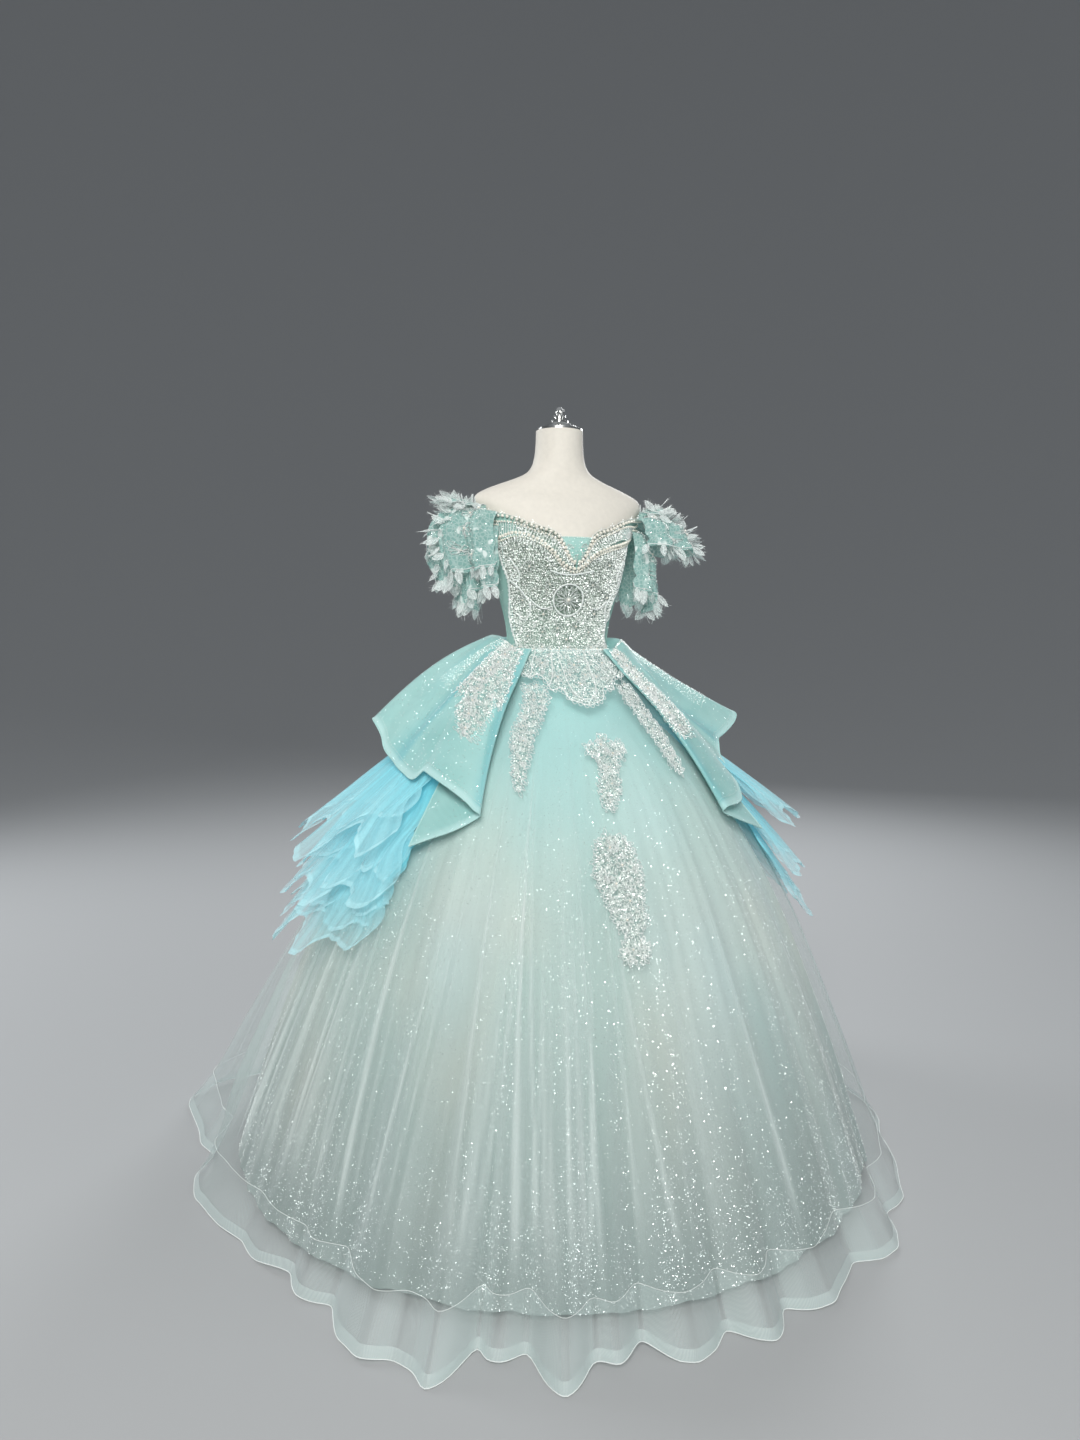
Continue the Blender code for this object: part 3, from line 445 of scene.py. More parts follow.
# The beads of one picot: across, up and radius.
PICOT = ((-0.0034, 0.0030, 0.0015), (0.0034, 0.0030, 0.0015), (0.0, 0.0048, 0.0019),
         (0.0, 0.0088, 0.0014))
# The beaded point: cords by azimuth and height, and each flower's azimuth, height and size.
BASQUE_CORDS = (
    ((-26.0, 1.114), (-23.5, 1.089), (-22.3, 1.060), (-24.0, 1.042)),
    ((-44.0, 1.114), (-42.0, 1.088), (-39.0, 1.068)),
    ((-19.0, 1.114), (-13.7, 1.079), (-10.2, 1.046), (-6.5, 1.024), (-2.0, 1.018),
     (4.5, 1.024), (9.0, 1.046), (12.0, 1.079), (17.0, 1.114)),
    ((24.0, 1.114), (24.0, 1.085), (26.0, 1.062)),
    ((40.0, 1.114), (34.0, 1.085), (36.0, 1.066)),
)
BASQUE_FLOWERS = (
    (-2.0, 1.086, 0.015), (-2.0, 1.048, 0.013), (-33.0, 1.090, 0.012), (31.0, 1.090, 0.012),
    (-18.0, 1.062, 0.010), (14.0, 1.062, 0.010), (-8.0, 1.066, 0.009), (5.0, 1.066, 0.009),
)

RUFFLES = table(
    "front back top hem left right wave waves tip",
    (57.0, 171.0, 0.758, 0.532, 0.036, 0.036, 0.0080, 8.0, 0.060),
    (56.0, 169.0, 0.880, 0.620, 0.064, 0.070, 0.0120, 7.0, 0.060),
    (60.0, 167.0, 0.940, 0.735, 0.098, 0.128, 0.0160, 6.5, 0.060),
)


# ---- surfaces read from the solids ----
def node_points(name):
    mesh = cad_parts[name].data
    found = np.empty(len(mesh.vertices) * 3)
    mesh.vertices.foreach_get("co", found)
    return found.reshape(-1, 3)


def ring_at(points, height):
    return points[np.abs(points[:, 2] - height) < RING_MATCH]


def levels(points, least):
    """Heights of a solid's rings of points, lowest first, without the wall's outer ones."""
    heights, counts = np.unique(np.round(points[:, 2], 4), return_counts=True)
    kept = []
    for height in heights[counts >= least]:
        if not kept or height - kept[-1] > WALL:
            kept.append(float(height))
    return kept


def read_sections():
    """The form's oval sections: height, half width, and depth to the front and back."""
    points = node_points("form_torso")
    rows = []
    for height in levels(points, SECTION_POINTS):
        ring = ring_at(points, height)
        rows.append((height, ring[:, 0].max(), -ring[:, 1].min(), ring[:, 1].max()))
    return table("height width front back", *rows)


SECTIONS = read_sections()


def on_form(angle, height, offset=0.0):
    """A point on the form or off it, at an angle of its oval section."""
    angle, height = np.broadcast_arrays(np.asarray(angle, float), height)
    turn = np.radians(angle)
    width = curve(height, SECTIONS["height"], SECTIONS["width"]) + offset
    front = curve(height, SECTIONS["height"], SECTIONS["front"])
    back = curve(height, SECTIONS["height"], SECTIONS["back"])
    depth = np.where(np.cos(turn) > 0.0, front, back) + offset
    return np.stack([width * np.sin(turn), -depth * np.cos(turn), height], axis=-1)


class Skirt:
    """A smooth skirt through the rings of its solids, with folds of its own."""

    def __init__(self, nodes, least, top, folds):
        self.azimuths = np.arange(-180.0, 180.0, SKIRT_STEP)
        points = np.concatenate([node_points(node) for node in nodes])
        heights = np.array(levels(points, least))
        radii = np.array([self.ring_radius(ring_at(points, height)) for height in heights])
        self.heights = np.concatenate([np.arange(0.0, HEM_ZONE, HEM_ROW),
                                       np.arange(HEM_ZONE, top, 2 * HEM_ROW), [top]])
        self.radii = np.array([curve(self.heights, heights, column) for column in radii.T]).T
        down = 1.0 - self.heights[:, None] / top
        self.radii = self.radii + folds(self.azimuths[None], down)
        self.slope = np.gradient(self.radii, self.heights, axis=0)

    def ring_radius(self, ring):
        """The inner radius of a solid's ring all the way round, a little smoothed."""
        azimuth = np.degrees(np.arctan2(ring[:, 0], -ring[:, 1]))
        radius = np.hypot(ring[:, 0], ring[:, 1])
        kept = {}
        for a, r in zip(np.round(azimuth, 2), radius):
            kept[a] = min(r, kept.get(a, math.inf))
        keys = sorted(kept)
        found = np.interp(self.azimuths, keys, [kept[a] for a in keys], period=360.0)
        for _ in range(2):
            found = (np.roll(found, 1) + 2 * found + np.roll(found, -1)) / 4
        return found

    def read(self, values, azimuth, height):
        """A grid of values read between its rows and columns."""
        column = (turned(azimuth) + 180.0) / SKIRT_STEP
        near = np.floor(column).astype(int)
        side = column - near
        count = len(self.azimuths)
        near, far = near % count, (near + 1) % count
        height = np.clip(height, self.heights[0], self.heights[-1])
        low = np.clip(np.searchsorted(self.heights, height, side="right") - 1, 0,
                      len(self.heights) - 2)
        up = (height - self.heights[low]) / (self.heights[low + 1] - self.heights[low])
        lower = values[low, near] * (1 - side) + values[low, far] * side
        upper = values[low + 1, near] * (1 - side) + values[low + 1, far] * side
        return lower * (1 - up) + upper * up

    def radius(self, azimuth, height):
        azimuth, height = np.broadcast_arrays(azimuth, height)
        return self.read(self.radii, azimuth, height)

    def at(self, azimuth, height, lift=0.0):
        """Points on the skirt, moved out square to its slope."""
        azimuth, height = np.broadcast_arrays(np.asarray(azimuth, float), height)
        slope = self.read(self.slope, azimuth, height)
        length = np.sqrt(1.0 + slope**2)
        out = self.radius(azimuth, height) + lift / length
        return polar(azimuth, out, height - lift * slope / length)


# ---- materials ----
# A wave texture's scale for a weave of one metre's pitch.
WEAVE_SCALE = 0.314
# How far a flake reaches across its cell, how far it tilts, and how many lie along a metre.
FLAKE_REACH, FLAKE_TILT, FLAKES_A_METRE = 0.42, 1.3, 520.0
FLAKE_COLOR = (0.95, 0.98, 0.97)
MINT = (0.36, 0.49, 0.455)
PALE = (0.70, 0.83, 0.80)
AQUA, AQUA_LIGHT = (0.27, 0.54, 0.51), (0.42, 0.69, 0.66)
CYAN = (0.21, 0.70, 0.80)
PANEL_COLOR, PANEL_LIGHT = (0.25, 0.46, 0.41), (0.36, 0.58, 0.53)


def rgba(value):
    return (*value, 1.0) if isinstance(value, tuple) else value


def plug(material, value, socket):
    """Give a socket its value, or link another node's socket to it."""
    if isinstance(value, bpy.types.NodeSocket):
        material.node_tree.links.new(value, socket)
    else:
        socket.default_value = value


def put(material, **sockets):
    """Give the shader's own sockets their values; their names take _ for a space."""
    shader = material.node_tree.nodes["Principled BSDF"]
    for key, value in sockets.items():
        plug(material, rgba(value), shader.inputs[key.replace("_", " ")])


def add_node(material, kind, inputs=None, **settings):
    node = material.node_tree.nodes.new("ShaderNode" + kind)
    for key, value in settings.items():
        setattr(node, key, value)
    for key, value in (inputs or {}).items():
        plug(material, value, node.inputs[key])
    return node


def new_material(name, color, roughness, **sockets):
    made = bpy.data.materials.new(name)
    made.use_nodes = True
    put(made, Base_Color=color, Roughness=roughness, **sockets)
    return made


def maths(material, operation, first, second=0.0, third=0.0):
    node = add_node(material, "Math", {0: first, 1: second, 2: third}, operation=operation)
    return node.outputs[0]


def vectors(material, operation, *values):
    return add_node(material, "VectorMath", dict(enumerate(values)),
                    operation=operation).outputs[0]


def ranged(material, value, low, high, to_low=0.0, to_high=1.0):
    node = add_node(material, "MapRange", {"Value": value, "From Min": low, "From Max": high,
                                           "To Min": to_low, "To Max": to_high})
    return node.outputs["Result"]


def blended(material, share, first, second):
    node = add_node(material, "Mix", {0: share, 6: rgba(first), 7: rgba(second)},
                    data_type="RGBA")
    return node.outputs[2]


def tinted(material, ground, tint, value, *span):
    """A ground colour that turns to a tint as a value grows; its span is as in ranged."""
    return blended(material, ranged(material, value, *span), ground, tint)


def attribute(material, name):
    return add_node(material, "Attribute", attribute_name=name).outputs["Fac"]


def object_place(material):
    return add_node(material, "TexCoord").outputs["Object"]


def noise_of(material, scale, stretch=(1.0, 1.0, 1.0), detail=2.0):
    mapped = add_node(material, "Mapping", {"Vector": object_place(material),
                                            "Scale": stretch})
    node = add_node(material, "TexNoise", {"Vector": mapped.outputs[0], "Scale": scale,
                                           "Detail": detail})
    return node.outputs["Fac"]


def cells_of(material, scale, feature="F1"):
    return add_node(material, "TexVoronoi", {"Vector": object_place(material),
                                             "Scale": scale}, feature=feature)


def net_of(material, scale):
    """The threads of a fine six-sided net: 1 on a thread, 0 in a mesh."""
    cells = cells_of(material, scale, "DISTANCE_TO_EDGE")
    return ranged(material, cells.outputs["Distance"], 0.04, 0.16, 1.0, 0.0)


def weave_of(material, pitch):
    """A plain weave's threads, as a height."""
    place = object_place(material)
    bands = [add_node(material, "TexWave", {"Vector": place, "Scale": WEAVE_SCALE / pitch},
                      bands_direction=axis).outputs["Fac"] for axis in ("DIAGONAL", "Z")]
    return maths(material, "MULTIPLY", *bands)


def bumped(material, height, strength, distance=0.0004):
    node = add_node(material, "Bump", {"Height": height, "Strength": strength,
                                       "Distance": distance})
    put(material, Normal=node.outputs["Normal"])


def glittered(material, ground, scale, share, glow):
    """Flakes glued on a ground colour, each with its own tilt; a few of them glow with a painted
    glint.
    """
    cells = cells_of(material, scale)
    color = cells.outputs["Color"]
    tone = add_node(material, "SeparateColor", {"Color": color})
    chosen = maths(material, "LESS_THAN", tone.outputs[0], share)
    near = maths(material, "LESS_THAN", cells.outputs["Distance"], FLAKE_REACH)
    flake = maths(material, "MULTIPLY", chosen, near)
    tilt = add_node(material, "VectorMath", {
        0: vectors(material, "SUBTRACT", color, (0.5, 0.5, 0.5)),
        "Scale": maths(material, "MULTIPLY", flake, FLAKE_TILT)}, operation="SCALE")
    facing = add_node(material, "NewGeometry").outputs["Normal"]
    # Painted glints: a few chosen flakes emit light of their own.
    painted_glint = maths(material, "MULTIPLY", flake, maths(material, "POWER", tone.outputs[1], 5.0))
    put(material, Base_Color=blended(material, flake, ground, FLAKE_COLOR), Metallic=flake,
        Roughness=ranged(material, flake, 0.0, 1.0, 0.75, 0.22),
        Normal=vectors(material, "NORMALIZE",
                       vectors(material, "ADD", facing, tilt.outputs[0])),
        Emission_Color=FLAKE_COLOR,
        Emission_Strength=maths(material, "MULTIPLY", painted_glint, glow))


def sheer(material, base, flank_share, fold_share, net, net_share):
    """How much light a sheer cloth stops: more where a fold stands side on or lies double."""
    total = base
    for value, share in ((attribute(material, "flank"), flank_share),
                         (attribute(material, "fold"), fold_share), (net, net_share)):
        total = maths(material, "MULTIPLY_ADD", value, share, total)
    return ranged(material, total, 0.0, 1.0)


def make_tulle():
    """Pale net over the lining, bluer at the waist and greyer at the hem with painted shade;
    paler along its folds, where it lies double and so is denser, and where a fold stands side
    on, as painted sheen.
    """
    made = new_material("tulle_pale", PALE, 0.85, Sheen_Weight=0.25, Sheen_Roughness=0.5)
    net, down = net_of(made, 620.0), attribute(made, "down")
    # Paler where the net lies double, which is its own density, and where a fold stands side on,
    # which is painted sheen.
    light = maths(made, "MULTIPLY_ADD", attribute(made, "flank"), 0.5, attribute(made, "fold"))
    pale = tinted(made, (0.58, 0.85, 0.83), PALE, down, 0.15, 0.6)
    # Painted shade: greyer towards the hem.
    pale = tinted(made, pale, (0.50, 0.62, 0.60), down, 0.55, 0.95)
    put(made, Base_Color=tinted(made, pale, (0.80, 0.90, 0.88), light, 0.0, 1.1),
        Alpha=sheer(made, 0.15, 0.20, 0.22, net, 0.08))
    bumped(made, net, 0.25)
    return made


def make_braid():
    made = new_material("horsehair_braid", (0.72, 0.85, 0.83), 0.45, Sheen_Weight=0.2)
    weave = weave_of(made, 0.0016)
    put(made, Alpha=sheer(made, 0.15, 0.30, 0.15, weave, 0.07))
    bumped(made, weave, 0.4)
    return made


def make_binding():
    made = new_material("hem_binding", (0.74, 0.86, 0.84), 0.5, Sheen_Weight=0.3)
    weave = weave_of(made, 0.0014)
    put(made, Alpha=ranged(made, weave, 0.0, 1.0, 0.34, 0.48))
    bumped(made, weave, 0.4, 0.0003)
    return made


def make_glitter_cloth():
    """The lining: aqua at the waist, mint and cream below with pale patches of painted sheen,
    thick with glitter low and darker there with painted shade.
    """
    made = new_material("glitter_cloth", MINT, 0.5, Sheen_Weight=0.3)
    down, streak = attribute(made, "down"), attribute(made, "streak")
    ground = MINT
    for tint, value, *span in (
            ((0.58, 0.60, 0.53), noise_of(made, 3.2, (1.0, 1.0, 0.30)), 0.42, 0.66),
            # Pale cool patches of painted sheen.
            ((0.50, 0.64, 0.65), noise_of(made, 2.3, (1.0, 1.0, 0.40)), 0.50, 0.70, 0.0, 0.8),
            ((0.62, 0.70, 0.67), streak, 0.0, 1.0, 0.0, 0.45),
            ((0.44, 0.78, 0.77), down, 0.05, 0.46, 0.90, 0.0),
            # Painted shade: much darker towards the hem.
            ((0.22, 0.27, 0.26), down, 0.55, 0.96, 0.0, 0.88)):
        ground = tinted(made, ground, tint, value, *span)
    share = ranged(made, streak, 0.0, 1.0, 0.02, 0.20)
    glittered(made, ground, FLAKES_A_METRE, share, 1.0)
    return made


def make_sparkling(name, color, glow_color, metallic, scale, power, *glow):
    """Glitter or glass with painted glints: it emits light of its own in places; its glow's span
    is as in ranged.
    """
    made = new_material(name, color, 0.2, Metallic=metallic)
    painted_glint = maths(made, "POWER", noise_of(made, scale, detail=0.0), power)
    put(made, Emission_Color=glow_color, Emission_Strength=ranged(made, painted_glint, *glow))
    return made


def make_organza(name, color, light, alpha, flakes, shade_and_edge=False):
    """Crisp cloth with a little glitter, paler with painted sheen where it stands side on;
    shade_and_edge adds painted shade in its pleating and folds, and its pale hem.
    """
    made = new_material(name, color, 0.5, Sheen_Weight=0.35, Sheen_Roughness=0.4)
    # The noise is the cloth's own uneven tone; paler where the cloth stands side on is painted
    # sheen.
    tone = maths(made, "ADD", ranged(made, noise_of(made, 14.0), 0.3, 0.75, 0.0, 0.55),
                 ranged(made, attribute(made, "flank"), 0.0, 0.7, 0.0, 0.5))
    ground = tinted(made, color, light, tone, 0.0, 1.0)
    if shade_and_edge:
        # Painted shade: darker cyan in the pleating, along a line near the front and beside the
        # crease.
        ground = blended(made, attribute(made, "deep"), ground, (0.16, 0.50, 0.54))
        ground = blended(made, maths(made, "MULTIPLY", attribute(made, "edge"), 0.6), ground,
                         (0.58, 0.82, 0.80))
    glittered(made, ground, FLAKES_A_METRE, flakes, 1.5)
    weave = weave_of(made, 0.0011)
    put(made, Alpha=ranged(made, weave, 0.0, 1.0, alpha - 0.06, alpha + 0.04))
    return made


def make_blue_tulle():
    """Soft dyed tulle with a faint painted glow: deep and dense where it is gathered, pale and
    thin at its points.
    """
    made = new_material("blue_tulle", CYAN, 0.9, Sheen_Weight=0.4, Sheen_Roughness=0.5)
    down = attribute(made, "down")
    color = tinted(made, CYAN, (0.47, 0.80, 0.85), down, 0.22, 1.0)
    alpha = sheer(made, 0.20, 0.36, 0.0, net_of(made, 520.0), 0.12)
    dense = ranged(made, down, 0.0, 0.95, 0.48, -0.02)
    edge = ranged(made, down, 0.955, 0.97, 0.0, 0.22)
    for extra in (dense, edge):
        alpha = maths(made, "ADD", alpha, extra)
    # Painted glow: the tulle emits a little light of its own, in its own colour.
    put(made, Base_Color=color, Emission_Color=color, Emission_Strength=0.10,
        Alpha=ranged(made, alpha, 0.0, 1.0))
    return made


def make_lace_ground():
    """The net under the beadwork, stitched over with pale and grey-green thread."""
    made = new_material("beaded_lace", (0.40, 0.48, 0.43), 0.6)
    patches = noise_of(made, 160.0, detail=3.0)
    color = tinted(made, (0.34, 0.45, 0.41), (0.70, 0.78, 0.73), patches, 0.42, 0.58)
    glittered(made, color, FLAKES_A_METRE, 0.25, 1.5)
    threads = maths(made, "MULTIPLY", net_of(made, 300.0), 0.55)
    put(made, Alpha=maths(made, "MAXIMUM", ranged(made, patches, 0.46, 0.60, 0.20, 0.85),
                          threads))
    return made


def make_bodice_cloth():
    """Aqua satin where the bodice is bare, and the beadwork's grey-green ground elsewhere."""
    made = new_material("bodice_cloth", PANEL_COLOR, 0.5, Sheen_Weight=0.2)
    lace = attribute(made, "lace")
    ground = tinted(made, (0.085, 0.125, 0.095), (0.29, 0.37, 0.31),
                    noise_of(made, 170.0, detail=3.0), 0.40, 0.62)
    ground = tinted(made, ground, (0.25, 0.39, 0.33), attribute(made, "down"), 0.45, 1.0, 0.0,
                    0.7)
    satin = blended(made, noise_of(made, 20.0), PANEL_COLOR, PANEL_LIGHT)
    glittered(made, blended(made, lace, satin, ground), 560.0,
              ranged(made, lace, 0.0, 1.0, 0.02, 0.30), 1.6)
    return made


def make_flounce_lace():
    """Aqua net embroidered all over in white: filled petals, and faint lines between them."""
    made = new_material("lace_flounce", (0.30, 0.52, 0.48), 0.6, Sheen_Weight=0.3)
    petals = ranged(made, noise_of(made, 50.0, detail=1.0), 0.58, 0.68)
    sewn = maths(made, "MAXIMUM", petals,
                 maths(made, "MULTIPLY", net_of(made, 120.0), 0.35))
    color = blended(made, sewn, (0.27, 0.50, 0.46), (0.74, 0.84, 0.81))
    glittered(made, color, FLAKES_A_METRE, 0.05, 1.5)
    put(made, Alpha=ranged(made, sewn, 0.0, 1.0, 0.74, 0.96))
    return made


def make_leaf_net():
    """Fine white embroidery on net, seen through between its threads."""
    made = new_material("leaf_net", (0.80, 0.88, 0.86), 0.7, Sheen_Weight=0.2)
    threads = maths(made, "MAXIMUM", net_of(made, 420.0),
                    ranged(made, noise_of(made, 300.0), 0.50, 0.62))
    put(made, Alpha=ranged(made, threads, 0.0, 1.0, 0.15, 0.85))
    return made


def make_plain(name, color, roughness, metallic=0.0, pitch=0.0, **sockets):
    """One colour, a little darker in places, and woven where it has a pitch."""
    made = new_material(name, color, roughness, Metallic=metallic, **sockets)
    darker = tuple(channel * 0.88 for channel in color)
    put(made, Base_Color=blended(made, noise_of(made, 90.0), darker, color))
    if pitch:
        bumped(made, weave_of(made, pitch), 0.35)
    return made


def make_metal():
    made = new_material("polished_metal", (0.78, 0.78, 0.76), 0.16, Metallic=1.0)
    put(made, Roughness=ranged(made, noise_of(made, 60.0), 0.3, 0.7, 0.10, 0.26))
    return made


TULLE = make_tulle()
BRAID = make_braid()
BINDING = make_binding()
GLITTER_CLOTH = make_glitter_cloth()
# The loose flakes: painted glints, an emitted glow in spots.
SPARK = make_sparkling("glitter_flake", (0.95, 0.98, 0.96), (0.93, 1.0, 0.98), 0.4, 900.0,
                       3.0, 0.02, 0.30, 0.2, 6.0)
PANEL = make_organza("bodice_satin", PANEL_COLOR, PANEL_LIGHT, 1.0, 0.02)
INSERT = make_organza("insert_satin", (0.30, 0.56, 0.51), (0.50, 0.74, 0.69), 1.0, 0.04)
BODICE = make_bodice_cloth()
FLOUNCE = make_flounce_lace()
DRAPE_EDGE = make_organza("drape_edge", (0.42, 0.70, 0.67), (0.56, 0.80, 0.77), 1.0, 0.02)
DRAPE = make_organza("drape_organza", AQUA, AQUA_LIGHT, 0.97, 0.035, shade_and_edge=True)
BLUE_TULLE = make_blue_tulle()
LACE = make_lace_ground()
LEAF_NET = make_leaf_net()
THREAD = make_plain("white_thread", (0.86, 0.91, 0.89), 0.7, Sheen_Weight=0.3)
PEARL = make_plain("pearl_bead", (0.93, 0.90, 0.80), 0.22, 0.05, Coat_Weight=0.6)
# The silver beads: painted glints, an emitted glow in spots.
SILVER = make_sparkling("silver_bead", (0.95, 0.97, 0.94), (0.95, 1.0, 0.97), 0.15, 420.0,
                        4.0, 0.05, 0.16, 0.0, 0.9)
COVER = make_plain("form_cover", (0.80, 0.76, 0.68), 0.65, pitch=0.0012, Sheen_Weight=0.15)
METAL = make_metal()


# ---- the dress form ----
TORSO_STEP, TORSO_ROWS = 4.0, 150
TORSO_CREASE, CAP_CREASE = 50.0, 38.0
CAP_COLUMNS = 72
KNOB_LOW, KNOB_FLUTES, FLUTE_DEPTH = 1.6435, 12, 0.06


def make_torso():
    """The form's padded body on the solid's sections, with a lid at each end."""
    angles = np.arange(0.0, 360.0, TORSO_STEP)
    heights = np.linspace(SECTIONS["height"][-1], SECTIONS["height"][0], TORSO_ROWS)
    points = on_form(angles[None], heights[:, None])
    verts = np.concatenate([points.reshape(-1, 3), [(0, 0, heights[-1])], [(0, 0, heights[0])]])
    columns, last = len(angles), (len(heights) - 1) * len(angles)
    body = grid_faces(len(heights), columns, closed=True)
    near = np.arange(columns)
    far = (near + 1) % columns
    under = np.stack([last + near, np.full(columns, len(verts) - 2), last + far], axis=-1)
    over = np.stack([near, far, np.full(columns, len(verts) - 1)], axis=-1)
    faces = body.tolist() + under.tolist() + over.tolist()
    piece = add_mesh("form_body", verts, faces, COVER)
    piece.data.set_sharp_from_angle(angle=math.radians(TORSO_CREASE))
    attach(piece, "root")
    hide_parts("form_torso")


def make_finial():
    """The turned cap on the neck, finer than its solid, with a fluted knob."""
    points = node_points("form_finial")
    radius = np.hypot(points[:, 0], points[:, 1])
    heights = np.unique(np.round(points[:, 2], 5))[::-1]
    profile = [(radius[np.abs(points[:, 2] - height) < 2e-5].max(), height)
               for height in heights]
    profile.append((0.0, heights[-1]))
    angles = 360.0 * np.arange(CAP_COLUMNS) / CAP_COLUMNS
    rows = []
    for out, height in profile:
        flute = FLUTE_DEPTH * np.cos(np.radians(angles) * KNOB_FLUTES)
        rows.append(polar(angles, out * (1.0 + flute * (height > KNOB_LOW)), height))
    piece = make_piece("form_cap", np.array(rows), grid_faces(len(rows), CAP_COLUMNS, True),
                       METAL, "polished_metal")
    piece.data.set_sharp_from_angle(angle=math.radians(CAP_CREASE))
    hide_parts("form_finial")


def finish_stand():
    for name in ("form_pole", "form_base"):
        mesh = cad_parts[name].data
        mesh.materials.clear()
        mesh.materials.append(METAL)


make_torso()
make_finial()
finish_stand()


# ---- camera, floor and lights ----
CAMERA = {"azimuth": -19.0, "distance": 2.29, "height": 1.166, "pitch": 5.2, "yaw": 0.92,
          "roll": 0.6, "lens": 25.0, "sensor": 36.0}
FLOOR_COLOR = (0.42, 0.425, 0.43)
# The floor's flat rings, where its curve starts and how wide it is, and its gap to the hem.
FLOOR_RINGS = (0.01, 1.5, 3.0, 4.2)
FLOOR_REACH, FLOOR_CURVE, FLOOR_DROP = 5.0, 16.0, 0.0005
WORLD_COLOR, WORLD_STRENGTH = (0.85, 0.90, 0.95), 0.37
LIGHT_TARGET = Vector((0.0, 0.0, 0.9))
# Each light's name, place, size, power and colour.
LIGHTS = (
    ("key", (-1.6, -3.8, 3.3), 2.0, 184.0, (1.0, 0.99, 0.97)),
    ("fill", (3.4, -2.8, 2.0), 2.4, 26.0, (0.94, 0.98, 1.0)),
    ("rim", (2.4, 3.2, 3.0), 1.8, 90.0, (0.95, 0.98, 1.0)),
    ("back", (-3.0, 2.8, 2.4), 1.8, 70.0, (0.95, 0.98, 1.0)),
)


def place_camera():
    """The photo's view, from its side of the gown, turned and rolled as it was held."""
    azimuth, pitch, roll = (math.radians(CAMERA[key]) for key in ("azimuth", "pitch", "roll"))
    spot = Vector((CAMERA["distance"] * math.sin(azimuth),
                   -CAMERA["distance"] * math.cos(azimuth), CAMERA["height"]))
    heading = math.atan2(-spot.y, -spot.x) + math.radians(CAMERA["yaw"])
    forward = Vector((math.cos(heading) * math.cos(pitch),
                      math.sin(heading) * math.cos(pitch), -math.sin(pitch)))
    level = forward.cross((0.0, 0.0, 1.0)).normalized()
    upright = level.cross(forward)
    right = level * math.cos(roll) + upright * math.sin(roll)
    up = upright * math.cos(roll) - level * math.sin(roll)
    data = bpy.data.cameras.new("view")
    data.lens = CAMERA["lens"]
    data.sensor_width = CAMERA["sensor"]
    camera = add_object("view", data)
    camera.matrix_world = Matrix.Translation(spot) @ Matrix(
        (right, up, -forward)).transposed().to_4x4()
    bpy.context.scene.camera = camera


def make_floor():
    """A pale round floor that curves up into its own backdrop on every side."""
    rise = np.linspace(0.0, math.pi / 2, 24)
    out = np.concatenate([FLOOR_RINGS, FLOOR_REACH + FLOOR_CURVE * np.sin(rise)])
    up = np.concatenate([np.zeros(len(FLOOR_RINGS)), FLOOR_CURVE * (1.0 - np.cos(rise))])
    up = up - FLOOR_DROP
    angles = np.arange(0.0, 360.0, 5.0)[None]
    points = polar(angles, out[::-1, None], up[::-1, None])
    faces = grid_faces(len(out), angles.shape[1], True).tolist()
    floor = add_mesh("floor", points, faces, new_material("studio_floor", FLOOR_COLOR, 0.7))


def add_light(name, spot, size, power, color):
    data = bpy.data.lights.new(name, "AREA")
    data.shape = "DISK"
    data.size = size
    data.energy = power
    data.color = color
    light = add_object(name, data)
    light.location = spot
    aim = LIGHT_TARGET - Vector(spot)
    light.rotation_euler = aim.to_track_quat("-Z", "Y").to_euler()


def make_lights():
    for light in LIGHTS:
        add_light(*light)
    world = bpy.data.worlds.new("studio")
    world.use_nodes = True
    shade = world.node_tree.nodes["Background"]
    shade.inputs["Color"].default_value = (*WORLD_COLOR, 1.0)
    shade.inputs["Strength"].default_value = WORLD_STRENGTH
    bpy.context.scene.world = world
    bpy.context.scene.view_settings.view_transform = "Standard"


place_camera()
make_floor()
make_lights()


# ---- skirts ----
def lining_folds(azimuth, down):
    gathers = ripple(azimuth, (17, 29, 43), 3) * 0.0045
    gathers = gathers + ripple(azimuth, (61, 83, 101), 4) * 0.002
    return gathers * soft(0.08, 0.55, down)


def tulle_folds(azimuth, down):
    """The tulle's own folds: deep ones, narrow ones, and creases as thin as a pleat."""
    deep = ridges(azimuth, down, 46, (1.6, 3.4), 12)
    narrow = ridges(azimuth, down, 70, (0.7, 1.6), 11)
    narrow += ridges(azimuth, down, 50, (0.6, 1.4), 13, span=(-95.0, 0.0))
    creases = ridges(azimuth, down, 26, (0.30, 0.5), 14, 5.0)
    creases += ridges(azimuth, down, 44, (0.30, 0.5), 15, 5.0, span=(-95.0, -8.0))
    stiff = 1.0 - soft(0.80, 0.94, down)
    return deep * (0.45 + 0.55 * stiff), narrow * stiff, creases * stiff


def overlay_folds(azimuth, down):
    deep, narrow, creases = tulle_folds(azimuth, down)
    height = deep * 0.0110 + narrow * 0.0050 + creases * 0.0022
    return height * soft(0.02, 0.25, down) * (0.35 + 0.65 * down)


def overlay_doubling(azimuth, down):
    """Where the tulle lies double along a fold and so hides more."""
    deep, narrow, creases = tulle_folds(azimuth, down)
    return np.clip(0.10 * deep + 0.22 * narrow + 0.80 * creases, 0.0, 1.4)


LINING = Skirt(["skirt_lining"], LINING_POINTS, SKIRT_TOP, lining_folds)
OVERLAY = Skirt(["skirt_overlay", "hem_braid"], OVERLAY_POINTS, SKIRT_TOP, overlay_folds)


